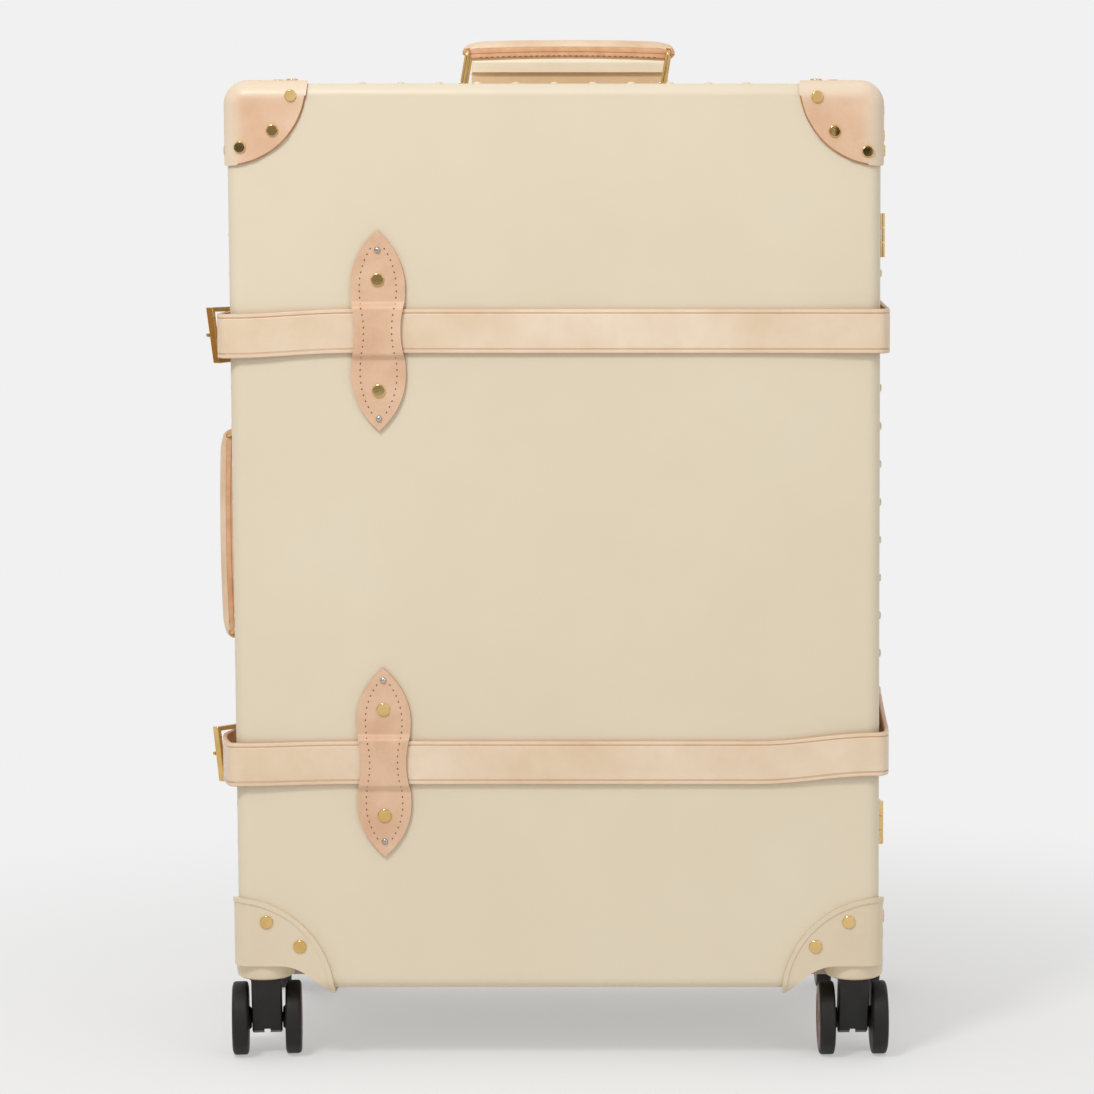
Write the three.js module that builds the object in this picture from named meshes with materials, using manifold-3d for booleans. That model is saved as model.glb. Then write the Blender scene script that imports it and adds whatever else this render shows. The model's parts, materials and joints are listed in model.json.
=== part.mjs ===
// Trunk-style suitcase in vulcanised fibreboard: a front lid and a rear base hinged on the right side,
// leather belts, corner guards and carry handles, a pull-out trolley handle and four twin-wheel casters.
// Millimetres, +X to the right of the front view, +Y to the back, +Z up, floor at zero.
import * as THREE from 'three';
import { mergeVertices } from 'three/addons/utils/BufferGeometryUtils.js';
import Module from 'manifold-3d';

const wasm = await Module();
wasm.setup();

// The case
const CASE_WIDTH = 512;
const CASE_HEIGHT = 719;
const CASE_DEPTH = 290;
const LID_DEPTH = 118;
const FLOOR_GAP = 60;
const CORNER_RADIUS = 15;
const EDGE_RADIUS = 10;
const BOARD = 2;
const FLANGE_DEPTH = 28;
const BAND_BOARD = 2.4;
const FIT_GAP = 0.3;
const SEAM_GAP = 0.4;
const OVERRUN = 60;

// The wooden frame glued inside the base, with its tongue into the lid
const FRAME_THICKNESS = 4;
const FRAME_TONGUE = 6;
const FRAME_SEAT = 22;

// Leather corner guards
const GUARD_REACH = 64.2;
const GUARD_THICKNESS = 2.6;

// Moulded wheel housings on the bottom corners
const HOUSING_THICKNESS = 3.2;
const HOUSING_RADIUS = 81.1;
const HOUSING_SIDE_OFFSET = 3.4;
const HOUSING_DROP = 6.2;
const BEAD_WIDTH = 3;
const BEAD_HEIGHT = 0.8;
const RECESS_FLAT = 34;
const RECESS_REACH = 74;
const RECESS_HEIGHT = 19.8;
const RECESS_TOP_BEND = 20;
const RECESS_LIP_BEND = 8;
const RECESS_LIP_RISE = 6.7;

// Casters
const SWIVEL_SIDE_INSET = 19.5;
const SWIVEL_FACE_INSET = 22;
const BOSS_RADIUS = 23;
const BOSS_GAP_TO_CASE_BOTTOM = 7.6;
const KINGPIN_RADIUS = 5;
const KINGPIN_LENGTH = 8;
const KINGPIN_CLEARANCE = 0.35;
const FORK_HALF_WIDTH = 12;
const FORK_DISC_RADIUS = 14;
const FORK_DISC_THICKNESS = 3;
const FORK_EYE_RADIUS = 12.5;
const FORK_FOOT_NOTCH = 5;
const FORK_FOOT_NOTCH_DEPTH = 5;
const FORK_NECK = 14;
const FORK_BEVEL = 0.9;
const CASTER_TRAIL = 16;
const WHEEL_RADIUS = 29.6;
const WHEEL_INNER_FACE = 14.8;
const WHEEL_OUTER_FACE = 27.6;
const WHEEL_SHOULDER = 2;
const WHEEL_DISH_RADIUS = 19;
const WHEEL_DISH_DEPTH = 1.6;
const HUB_RADIUS = 8;
const AXLE_RADIUS = 4;
const AXLE_CLEARANCE = 0.35;
// How far each caster is turned from straight ahead, in degrees, as they stand in the photograph
const LEFT_CASTER_TURN = 7;
const RIGHT_CASTER_TURN = 3;

// Belts, their keeper tabs and buckles
const BELT_WIDTH = 35;
const BELT_THICKNESS = 3.5;
const UPPER_BELT_Z = 586;
const LOWER_BELT_Z = 244;
const BELT_CORNER_LIFT = 4;
const BELT_CORNER_RADIUS = 12;
const BELT_EASE = 95;
const BELT_FLEX_HALF = 30;
const TAIL_PAST_SEAM = 15;
const TAIL_GAP = 1;
const UPPER_BELT_LEFT_SAG = 4;
const LOWER_BELT_LEFT_SAG = 1.5;
const LOWER_BELT_RIGHT_RISE = 7;
const UPPER_TAB_LENGTH = 157;
const LOWER_TAB_LENGTH = 151;
const TAB_WIDTH = 43;
const TAB_WAIST = 36;
const TAB_LOBE_HEIGHT = 33;
const TAB_THICKNESS = 2.6;
const TAB_RAMP = 5;
const TAB_X = -138;
const BUCKLE_BAR = 3.6;
const BUCKLE_HEIGHT = 44;
const BUCKLE_LENGTH = 31;
const UPPER_BUCKLE_TILT = 11.1;
const LOWER_BUCKLE_TILT = 17.1;
const BUCKLE_BEVEL = 0.9;
const BUCKLE_PIVOT_OFF_WALL = 5.2;
const UPPER_BUCKLE_BEHIND_FRONT = 46;
const LOWER_BUCKLE_BEHIND_FRONT = 78;
const BUCKLE_FRONT_DEPTH = 5.8;
const FOLD_HOLE_RADIUS = 2.4;
const FOLD_LEATHER = 2.2;
const PRONG_RADIUS = 1.5;
const PRONG_LENGTH = 33;
const PRONG_EYE_RADIUS = 4.2;
const PRONG_EYE_WIDTH = 5;
const PRONG_SIDE_ROOM = 0.7;
const SLOT_BEFORE_PIVOT = 26;
const SLOT_PAST_PIVOT = 15;
const LOOP_FROM_PIVOT = 20;
const LOOP_WIDTH = 12;
const LOOP_LEATHER = 2;
const LOOP_ROOM = 10.3;
// A buckle bar this far behind the front leaves the belt's corner snug; a nearer one lifts it
const CORNER_SNUG_BEYOND = 30;

// Hinges on the right side
const HINGE_HEIGHT = 36;
const HINGE_LEAF = 1.8;
const HINGE_LEAF_WIDTH = 26;
const KNUCKLE_RADIUS = 4.4;
const PIN_RADIUS = 1.8;
const PIN_CLEARANCE = 0.3;
const LOWER_HINGE_Z = 175;
const UPPER_HINGE_Z = 660;

// Locks on the left side
const UPPER_LOCK_Z = 532;
const LOWER_LOCK_Z = 295;
const LOCK_HEIGHT = 34;
const LOCK_CASE_LENGTH = 31;
const LOCK_CASE_HEIGHT = 7;
const LOCK_STEP_LENGTH = 17;
const LOCK_STEP_HEIGHT = 2.3;
const LOCK_EDGE = 1;
const LOCK_CORNER = 2;
const LOCK_TO_SEAM = 0.6;
const HASP_PLATE_LENGTH = 30;
const HASP_PLATE = 1.6;
const HASP_HEIGHT = 22;
const HASP_THICKNESS = 2;
const HASP_REACH = 26;
const HASP_PIVOT_BEFORE_SEAM = 10;
const HASP_KNUCKLE = 2.2;
const HASP_PIN = 1;
const HASP_NOSE = 1.4;
const HASP_NOSE_LENGTH = 6;
const HASP_NOSE_HEIGHT = 11;
const LOCK_BUTTON_LENGTH = 12;
const LOCK_BUTTON_WIDTH = 7;
const LOCK_BUTTON_PROUD = 1.4;
const LOCK_BUTTON_SUNK = 2;
const LOCK_BUTTON_TRAVEL = 4;

// Carry handles: two ring links and a leather grip each
const HANDLE_SPACING = 165;
const HANDLE_BEHIND_SEAM = 51;
const TOP_HANDLE_X = -2.3;
const TOP_HANDLE_LEAN = 10;
const SIDE_HANDLE_FOLD = 40;
const SIDE_HANDLE_Z = 430;
const RING_WIRE = 4;
const RING_REACH = 29;
const RING_WIDTH = 34;
const RING_BEVEL = 1.1;
const RING_CORNER = 4;
const RING_PIVOT_HEIGHT = 4.6;
const SADDLE_BORE = 2.8;
const SADDLE_METAL = 1.6;
const SADDLE_FOOT = 15;
const SADDLE_WIDTH = 22;
const GRIP_BELOW_BAR = 5;
const GRIP_ABOVE_BAR = 6;
const GRIP_CROWN = 3.4;
const GRIP_ARCH = 1.6;
const GRIP_END = 4.5;
const GRIP_DEPTH = 25;
const GRIP_BEVEL = 4;

// Trolley handle
const TROLLEY_BEFORE_REAR = 46;
const ROD_SPACING = 110;
const ROD_WIDTH = 13;
const ROD_DEPTH = 8;
const ROD_CLEARANCE = 0.5;
const TUBE_WALL = 1.5;
const TROLLEY_TRAVEL = 330;
const ROD_OVERLAP = 60;
const TUBE_FOOT_GAP = 60;
const BEZEL_LENGTH = 178;
const BEZEL_WIDTH = 29;
const BEZEL_HEIGHT = 3;
const BEZEL_CORNER = 12;
const TROLLEY_GRIP_LENGTH = 162;
const TROLLEY_GRIP_HEIGHT = 28;
const TROLLEY_GRIP_DEPTH = 24;
const TROLLEY_GRIP_CORNER = 8;
const TROLLEY_GRIP_BEVEL = 5;
const BUTTON_LENGTH = 38;
const BUTTON_WIDTH = 10;
const BUTTON_PROUD = 2.4;
const BUTTON_SUNK = 5;

// Fineness of the round forms, in pieces
const CORNER_PIECES = 2;
const EDGE_PIECES = 3;
const SPHERE_PIECES = 32;
const WHEEL_PIECES = 16;
const ROUND_PIECES = 12;
const SMALL_PIECES = 8;

// Places that follow from the sizes above
const caseHalf = CASE_WIDTH / 2;
const bandInset = BOARD + FIT_GAP;
const wallX = caseHalf - bandInset;
const frontY = -CASE_DEPTH / 2;
const rearY = CASE_DEPTH / 2;
const seamY = frontY + LID_DEPTH;
const bottomZ = FLOOR_GAP;
const topZ = FLOOR_GAP + CASE_HEIGHT;
const midZ = (bottomZ + topZ) / 2;
const bandTopZ = topZ - bandInset;
const handleY = seamY + HANDLE_BEHIND_SEAM;
const trolleyY = rearY - TROLLEY_BEFORE_REAR;
const beltHalf = BELT_WIDTH / 2;
const beltMid = FIT_GAP + BELT_THICKNESS / 2;

function plastic(color, roughness, metalness = 0) {
  return new THREE.MeshStandardMaterial({ color, roughness, metalness });
}
const fibreboard = plastic('#e0d2b8', 0.55);
const ash = plastic('#d2b58a', 0.6);
const guardLeather = plastic('#dfbb9b', 0.5);
const beltLeather = plastic('#e6d3bb', 0.5);
const tabLeather = plastic('#ddb89b', 0.5);
const gripLeather = plastic('#dfc0a2', 0.55);
const housingPlastic = plastic('#d9c8ac', 0.45);
const blackPlastic = plastic('#2b2a29', 0.6);
const wheelRubber = plastic('#262524', 0.75);
const gold = plastic('#c39a55', 0.25, 1);
const creamPlastic = plastic('#eddec6', 0.4);

const suitcase = new THREE.Group();

function place(name, geometry, material, parent = suitcase) {
  const mesh = new THREE.Mesh(geometry, material);
  mesh.name = name;
  parent.add(mesh);
  return mesh;
}

// Turn three.js geometry into a solid that can be joined and cut, and back again.
function solid(geometry) {
  const bare = geometry.clone();
  bare.deleteAttribute('normal');
  bare.deleteAttribute('uv');
  const merged = mergeVertices(bare);
  return new wasm.Manifold(new wasm.Mesh({
    numProp: 3,
    vertProperties: Float32Array.from(merged.attributes.position.array),
    triVerts: Uint32Array.from(merged.index.array),
  }));
}

function geometryOf(body) {
  const mesh = body.getMesh();
  const geometry = new THREE.BufferGeometry();
  geometry.setAttribute('position', new THREE.BufferAttribute(Float32Array.from(mesh.vertProperties), 3));
  geometry.setIndex(new THREE.BufferAttribute(Uint32Array.from(mesh.triVerts), 1));
  geometry.computeVertexNormals();
  return geometry;
}

// Outlines pushed along one axis. The bevel rounds both ends and keeps the outline's full size.
function pushed(shape, length, bevel, bevelPieces, curvePieces) {
  return new THREE.ExtrudeGeometry(shape, {
    depth: length - 2 * bevel,
    bevelEnabled: bevel > 0,
    bevelThickness: bevel,
    bevelSize: bevel,
    bevelOffset: -bevel,
    bevelSegments: bevelPieces,
    curveSegments: curvePieces,
  }).translate(0, 0, bevel);
}

function alongZ(shape, low, high, bevel = 0, bevelPieces = 1, curvePieces = CORNER_PIECES) {
  return pushed(shape, high - low, bevel, bevelPieces, curvePieces).translate(0, 0, low);
}

// The outline's own x and y become X and Z.
function alongY(shape, low, high, bevel = 0, bevelPieces = 1, curvePieces = CORNER_PIECES) {
  return pushed(shape, high - low, bevel, bevelPieces, curvePieces)
    .rotateX(Math.PI / 2).translate(0, high, 0);
}

// The outline's own x and y become Y and Z.
function alongX(shape, low, high, bevel = 0, bevelPieces = 1, curvePieces = CORNER_PIECES) {
  const turn = new THREE.Matrix4().makeBasis(
    new THREE.Vector3(0, 1, 0), new THREE.Vector3(0, 0, 1), new THREE.Vector3(1, 0, 0));
  return pushed(shape, high - low, bevel, bevelPieces, curvePieces).applyMatrix4(turn).translate(low, 0, 0);
}

function block(low, high) {
  const size = [0, 1, 2].map((axis) => high[axis] - low[axis]);
  const centre = [0, 1, 2].map((axis) => (high[axis] + low[axis]) / 2);
  return new THREE.BoxGeometry(...size).translate(...centre);
}

function roundRod(radius, low, high, pieces = ROUND_PIECES) {
  return new THREE.CylinderGeometry(radius, radius, high - low, pieces)
    .rotateX(Math.PI / 2).translate(0, 0, (low + high) / 2);
}

function roundedRectangle(left, low, right, high, radius, Kind = THREE.Shape) {
  const outline = new Kind();
  outline.moveTo(left + radius, low);
  outline.lineTo(right - radius, low);
  outline.absarc(right - radius, low + radius, radius, -Math.PI / 2, 0, false);
  outline.lineTo(right, high - radius);
  outline.absarc(right - radius, high - radius, radius, 0, Math.PI / 2, false);
  outline.lineTo(left + radius, high);
  outline.absarc(left + radius, high - radius, radius, Math.PI / 2, Math.PI, false);
  outline.lineTo(left, low + radius);
  outline.absarc(left + radius, low + radius, radius, Math.PI, Math.PI * 1.5, false);
  return outline;
}

// The case's outer form, grown outwards or, with a negative value, inwards
function caseBlock(grow) {
  const outline = roundedRectangle(-caseHalf - grow, bottomZ - grow, caseHalf + grow, topZ + grow,
    CORNER_RADIUS + grow);
  return solid(alongY(outline, frontY - grow, rearY + grow, EDGE_RADIUS + grow, EDGE_PIECES));
}

function caseRing(inset, thickness, fromY, toY) {
  const outer = roundedRectangle(-caseHalf + inset, bottomZ + inset, caseHalf - inset, topZ - inset,
    CORNER_RADIUS - inset);
  const deeper = inset + thickness;
  outer.holes.push(roundedRectangle(-caseHalf + deeper, bottomZ + deeper, caseHalf - deeper, topZ - deeper,
    Math.max(CORNER_RADIUS - deeper, thickness), THREE.Path));
  return solid(alongY(outer, fromY, toY));
}

function slab(fromY, toY) {
  const far = CASE_WIDTH;
  return solid(block([-far, fromY, -far], [far, toY, CASE_HEIGHT + FLOOR_GAP + far]));
}

// Wheel recess at one bottom corner: flat over the wheels, then falling in a curve to the case's underside
function recessOutline(grow, wallAt, sign) {
  const across = (inward) => wallAt - sign * inward;
  const up = bottomZ + RECESS_HEIGHT + grow;
  const down = bottomZ - OVERRUN;
  const lipZ = bottomZ - HOUSING_THICKNESS;
  const outline = new THREE.Shape();
  outline.moveTo(across(-OVERRUN), down);
  outline.lineTo(across(RECESS_REACH + grow), down);
  outline.lineTo(across(RECESS_REACH + grow), lipZ);
  outline.bezierCurveTo(across(RECESS_REACH + grow - RECESS_LIP_BEND), lipZ + RECESS_LIP_RISE,
    across(RECESS_FLAT + grow + RECESS_TOP_BEND), up, across(RECESS_FLAT + grow), up);
  outline.lineTo(across(-OVERRUN), up);
  return outline;
}

function wheelRecess(signX, signY, grow) {
  const far = CASE_WIDTH;
  const acrossX = solid(alongY(recessOutline(grow, signX * caseHalf, signX), -far, far, 0, 1, EDGE_PIECES));
  const acrossY = solid(alongX(recessOutline(grow, signY * rearY, signY), -far, far, 0, 1, EDGE_PIECES));
  return acrossX.intersect(acrossY);
}

function withoutRecesses(body, signY) {
  const grow = HOUSING_THICKNESS + FIT_GAP;
  return body.subtract(wheelRecess(-1, signY, grow)).subtract(wheelRecess(1, signY, grow));
}

// Shells: pressed trays riveted over the side bands
function addShells() {
  const wholeTray = caseBlock(0).subtract(caseBlock(-BOARD));
  const lidTray = wholeTray.intersect(slab(frontY - OVERRUN, frontY + FLANGE_DEPTH));
  const baseTray = wholeTray.intersect(slab(rearY - FLANGE_DEPTH, rearY + OVERRUN));
  const lidBand = caseRing(bandInset, BAND_BOARD, frontY + EDGE_RADIUS, seamY - SEAM_GAP / 2);
  const baseBand = caseRing(bandInset, BAND_BOARD, seamY + SEAM_GAP / 2, rearY - EDGE_RADIUS);
  const frame = caseRing(bandInset + BAND_BOARD + FIT_GAP, FRAME_THICKNESS,
    seamY - FRAME_TONGUE, seamY + FRAME_SEAT);
  place('lid_tray', geometryOf(withoutRecesses(lidTray, -1)), fibreboard);
  place('lid_band', geometryOf(withoutRecesses(lidBand, -1)), fibreboard);
  place('base_tray', geometryOf(withoutRecesses(baseTray, 1)), fibreboard);
  place('base_band', geometryOf(withoutRecesses(baseBand, 1).subtract(trolleyHoles())), fibreboard);
  place('base_frame', geometryOf(frame), ash);
}

// Leather corner guards, each cut to a quarter round on three faces
function addGuards() {
  const skin = caseBlock(FIT_GAP + GUARD_THICKNESS).subtract(caseBlock(FIT_GAP));
  for (const [side, signX] of [['left', -1], ['right', 1]]) {
    for (const [face, signY] of [['front', -1], ['rear', 1]]) {
      const ball = new THREE.SphereGeometry(GUARD_REACH, SPHERE_PIECES, SPHERE_PIECES / 2)
        .translate(signX * caseHalf, signY * rearY, topZ);
      place(`corner_guard_${face}_${side}`, geometryOf(skin.intersect(solid(ball))), guardLeather);
    }
  }
}

// Moulded wheel housings with a raised bead, a wheel recess and a round boss for the caster
function addHousings() {
  const outer = caseBlock(FIT_GAP + HOUSING_THICKNESS);
  const inner = caseBlock(FIT_GAP);
  const beadSkin = caseBlock(FIT_GAP + HOUSING_THICKNESS + BEAD_HEIGHT).subtract(inner);
  for (const [side, signX] of [['left', -1], ['right', 1]]) {
    for (const [face, signY] of [['front', -1], ['rear', 1]]) {
      const centre = [signX * (caseHalf + HOUSING_SIDE_OFFSET), signY * (rearY + HOUSING_SIDE_OFFSET),
        bottomZ - HOUSING_DROP];
      const ball = (radius) => solid(new THREE.SphereGeometry(radius, SPHERE_PIECES, SPHERE_PIECES / 2)
        .translate(...centre));
      const [swivelX, swivelY] = swivelAt(signX, signY);
      const ceilingZ = bottomZ + RECESS_HEIGHT;
      const bossLow = bottomZ + BOSS_GAP_TO_CASE_BOTTOM;
      const boss = solid(roundRod(BOSS_RADIUS, bossLow, ceilingZ + FIT_GAP, WHEEL_PIECES)
        .translate(swivelX, swivelY, 0));
      const bore = solid(roundRod(KINGPIN_RADIUS + KINGPIN_CLEARANCE, bossLow - OVERRUN,
        bossLow + KINGPIN_LENGTH + FIT_GAP).translate(swivelX, swivelY, 0));
      const skin = outer.subtract(inner).intersect(ball(HOUSING_RADIUS));
      const bead = beadSkin.intersect(ball(HOUSING_RADIUS)).subtract(ball(HOUSING_RADIUS - BEAD_WIDTH));
      const ceiling = outer.intersect(wheelRecess(signX, signY, HOUSING_THICKNESS));
      const body = skin.add(bead).add(ceiling)
        .subtract(wheelRecess(signX, signY, 0)).add(boss).subtract(bore);
      place(`wheel_housing_${face}_${side}`, geometryOf(body), housingPlastic);
    }
  }
}

function swivelAt(signX, signY) {
  return [signX * (caseHalf - SWIVEL_SIDE_INSET), signY * (rearY - SWIVEL_FACE_INSET)];
}

// Caster fork: a round plate and kingpin over a leaning neck that ends in the axle eye and two feet
function forkGeometry(plateTop, axleZ) {
  const neckTop = plateTop - FORK_DISC_THICKNESS;
  const side = new THREE.Shape();
  side.moveTo(-FORK_NECK + FORK_DISC_THICKNESS, neckTop + FORK_DISC_THICKNESS / 2);
  side.lineTo(-FORK_NECK + FORK_DISC_THICKNESS, neckTop);
  side.lineTo(CASTER_TRAIL - FORK_EYE_RADIUS, axleZ);
  side.absarc(CASTER_TRAIL, axleZ, FORK_EYE_RADIUS, Math.PI, Math.PI * 2, false);
  side.lineTo(FORK_NECK, neckTop);
  side.lineTo(FORK_NECK, neckTop + FORK_DISC_THICKNESS / 2);
  const neck = solid(alongX(side, -FORK_HALF_WIDTH, FORK_HALF_WIDTH, FORK_BEVEL));
  const disc = solid(roundRod(FORK_DISC_RADIUS, neckTop, plateTop));
  const kingpin = solid(roundRod(KINGPIN_RADIUS, neckTop, plateTop + KINGPIN_LENGTH, SMALL_PIECES));
  const boreRadius = AXLE_RADIUS + AXLE_CLEARANCE;
  const axleBore = solid(new THREE.CylinderGeometry(boreRadius, boreRadius,
    FORK_HALF_WIDTH * 2 + OVERRUN, SMALL_PIECES).rotateZ(Math.PI / 2).translate(0, CASTER_TRAIL, axleZ));
  const notch = solid(block(
    [-FORK_FOOT_NOTCH / 2, -OVERRUN, axleZ - FORK_EYE_RADIUS - FORK_FOOT_NOTCH_DEPTH],
    [FORK_FOOT_NOTCH / 2, OVERRUN, axleZ - FORK_EYE_RADIUS + FORK_FOOT_NOTCH_DEPTH]));
  return geometryOf(neck.add(disc).add(kingpin).subtract(axleBore).subtract(notch));
}

// Twin wheels on one axle, turned as one profile
function wheelsetGeometry() {
  const half = [
    [WHEEL_DISH_RADIUS - WHEEL_SHOULDER, WHEEL_OUTER_FACE - WHEEL_DISH_DEPTH],
    [WHEEL_DISH_RADIUS, WHEEL_OUTER_FACE],
    [WHEEL_RADIUS - WHEEL_SHOULDER, WHEEL_OUTER_FACE],
    [WHEEL_RADIUS, WHEEL_OUTER_FACE - WHEEL_SHOULDER],
    [WHEEL_RADIUS, WHEEL_INNER_FACE + WHEEL_SHOULDER],
    [WHEEL_RADIUS - WHEEL_SHOULDER, WHEEL_INNER_FACE],
    [HUB_RADIUS, WHEEL_INNER_FACE],
    [HUB_RADIUS, FORK_HALF_WIDTH + FIT_GAP],
    [AXLE_RADIUS, FORK_HALF_WIDTH + FIT_GAP],
  ];
  const discX = WHEEL_OUTER_FACE - WHEEL_DISH_DEPTH;
  const profile = [[0, discX], ...half].map(([radius, x]) => new THREE.Vector2(radius, x));
  const mirrored = profile.map((point) => new THREE.Vector2(point.x, -point.y));
  return new THREE.LatheGeometry([...mirrored, ...profile.reverse()], WHEEL_PIECES)
    .rotateY(Math.PI / WHEEL_PIECES).rotateZ(-Math.PI / 2);
}

function addCasters() {
  const axleZ = WHEEL_RADIUS * Math.cos(Math.PI / WHEEL_PIECES);
  const plateTop = bottomZ + BOSS_GAP_TO_CASE_BOTTOM - FIT_GAP;
  for (const [side, signX, turn] of [['left', -1, LEFT_CASTER_TURN], ['right', 1, RIGHT_CASTER_TURN]]) {
    for (const [face, signY] of [['front', -1], ['rear', 1]]) {
      const caster = new THREE.Group();
      caster.position.set(...swivelAt(signX, signY), 0);
      caster.rotation.z = THREE.MathUtils.degToRad(turn);
      suitcase.add(caster);
      place(`caster_fork_${face}_${side}`, forkGeometry(plateTop, axleZ), blackPlastic, caster);
      const wheels = place(`caster_wheels_${face}_${side}`, wheelsetGeometry(), wheelRubber, caster);
      wheels.position.set(0, CASTER_TRAIL, axleZ);
    }
  }
}

// The two belts. Neither hangs quite level: each one's ends sag or rise a little towards its side parts.
const belts = [
  {
    level: 'upper',
    height: UPPER_BELT_Z,
    leftRise: -UPPER_BELT_LEFT_SAG,
    rightRise: 0,
    tabLength: UPPER_TAB_LENGTH,
    buckleY: frontY + UPPER_BUCKLE_BEHIND_FRONT,
    buckleTilt: UPPER_BUCKLE_TILT,
  },
  {
    level: 'lower',
    height: LOWER_BELT_Z,
    leftRise: -LOWER_BELT_LEFT_SAG,
    rightRise: LOWER_BELT_RIGHT_RISE,
    tabLength: LOWER_TAB_LENGTH,
    buckleY: frontY + LOWER_BUCKLE_BEHIND_FRONT,
    buckleTilt: LOWER_BUCKLE_TILT,
  },
];

function heightOffLevel(belt, x) {
  const rise = x < 0 ? belt.leftRise : belt.rightRise;
  return rise * THREE.MathUtils.smoothstep(Math.abs(x), caseHalf - BELT_EASE, wallX);
}

// A belt's run is a curve in plan. Four corners at each sample give it thickness and width, and the samples
// near its ends move off level.
const RING_CORNERS = 4;

function beltSolid(belt, points, samples) {
  const path = points.map(([x, y]) => new THREE.Vector3(x, y, 0));
  const run = new THREE.CatmullRomCurve3(path, false, 'centripetal');
  const half = BELT_THICKNESS / 2;
  const corners = [];
  const facets = [];
  for (let i = 0; i <= samples; i += 1) {
    const at = run.getPoint(i / samples);
    const along = run.getTangent(i / samples);
    const middle = belt.height + heightOffLevel(belt, at.x);
    for (const [side, up] of [[1, -1], [1, 1], [-1, 1], [-1, -1]]) {
      corners.push(at.x + side * along.y * half, at.y - side * along.x * half, middle + up * beltHalf);
    }
    const first = i * RING_CORNERS;
    for (let corner = 0; corner < RING_CORNERS && i < samples; corner += 1) {
      const next = first + (corner + 1) % RING_CORNERS;
      facets.push(first + corner, first + corner + RING_CORNERS, next);
      facets.push(next, first + corner + RING_CORNERS, next + RING_CORNERS);
    }
  }
  const last = samples * RING_CORNERS;
  facets.push(0, 1, 2, 0, 2, 3, last, last + 2, last + 1, last, last + 3, last + 2);
  return new wasm.Manifold(new wasm.Mesh({
    numProp: 3,
    vertProperties: Float32Array.from(corners),
    triVerts: Uint32Array.from(facets),
  }));
}

// A belt's turn round a corner, point by point from its side: how far inward and how far behind the face,
// in shares of the corner radius, and how far off the face, in shares of the lift
const BELT_TURN_SHARES = [[0.06, 0.35, 0], [0.4, 0, 0.45], [1.2, 0, 0.62]];
const BELT_SIDE_SHARE = 1.2;
const BELT_EASE_SHARE = 0.45;
const BELT_EASE_LIFT_SHARE = 0.42;

// One belt run round an end of the case. faceSign is -1 for the front and 1 for the rear.
function endRun(faceSign, leftStart, leftOff, rightEnd) {
  const lift = beltMid + BELT_CORNER_LIFT;
  const eased = caseHalf - BELT_EASE;
  const out = (distance) => faceSign * (rearY + distance);
  const turn = (cornerX) => BELT_TURN_SHARES.map(([inward, behind, off]) => [
    Math.sign(cornerX) * (Math.abs(cornerX) - inward * BELT_CORNER_RADIUS),
    out(off * lift - behind * BELT_CORNER_RADIUS),
  ]);
  const easing = eased + BELT_EASE * BELT_EASE_SHARE;
  return [
    ...leftStart,
    ...turn(-caseHalf - leftOff),
    [-easing, out(lift * BELT_EASE_LIFT_SHARE)],
    [-eased, out(beltMid)],
    [0, out(beltMid)],
    [eased, out(beltMid)],
    [easing, out(lift * BELT_EASE_LIFT_SHARE)],
    ...turn(caseHalf + lift).reverse(),
    [caseHalf + lift, out(-BELT_CORNER_RADIUS * BELT_SIDE_SHARE)],
    ...rightEnd,
  ];
}

const pivotX = -wallX - BUCKLE_PIVOT_OFF_WALL;
const BELT_SAMPLES_PER_POINT = 2;
const TAIL_SETTLE_SHARE = 0.72;
const REAR_SETTLE_SHARES = [0, 0.58, 0.7];

// Front belt: its free tail lies over the rear belt on the left side and passes under the buckle's front bar.
function frontBelt(belt) {
  const lift = beltMid + BELT_CORNER_LIFT;
  const pivotY = belt.buckleY;
  const tailLow = beltMid + BELT_THICKNESS + TAIL_GAP;
  const tailHigh = BUCKLE_PIVOT_OFF_WALL + FOLD_HOLE_RADIUS + FOLD_LEATHER + beltMid;
  const underBar = BUCKLE_PIVOT_OFF_WALL + belt.buckleTilt - BUCKLE_FRONT_DEPTH / 2 - BUCKLE_BEVEL - beltMid;
  const barY = pivotY - BUCKLE_LENGTH;
  const tail = [
    [-wallX - tailLow, seamY + TAIL_PAST_SEAM],
    [-wallX - tailLow, pivotY + (seamY - pivotY) * TAIL_SETTLE_SHARE],
    [-wallX - tailHigh, pivotY],
    [-wallX - underBar, barY],
  ];
  const hingeSide = [[wallX + bandInset + lift, seamY - BELT_FLEX_HALF]];
  const cornerOff = barY > frontY + CORNER_SNUG_BEYOND ? lift : underBar - bandInset;
  const points = endRun(-1, tail, cornerOff, hingeSide);
  const slotHalf = PRONG_RADIUS + PRONG_SIDE_ROOM;
  const midHeight = belt.height + belt.leftRise;
  const slot = solid(block(
    [pivotX - OVERRUN, pivotY - SLOT_BEFORE_PIVOT, midHeight - slotHalf],
    [pivotX + BUCKLE_PIVOT_OFF_WALL, pivotY + SLOT_PAST_PIVOT, midHeight + slotHalf]));
  return beltSolid(belt, points, (points.length - 1) * BELT_SAMPLES_PER_POINT).subtract(slot);
}

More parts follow.
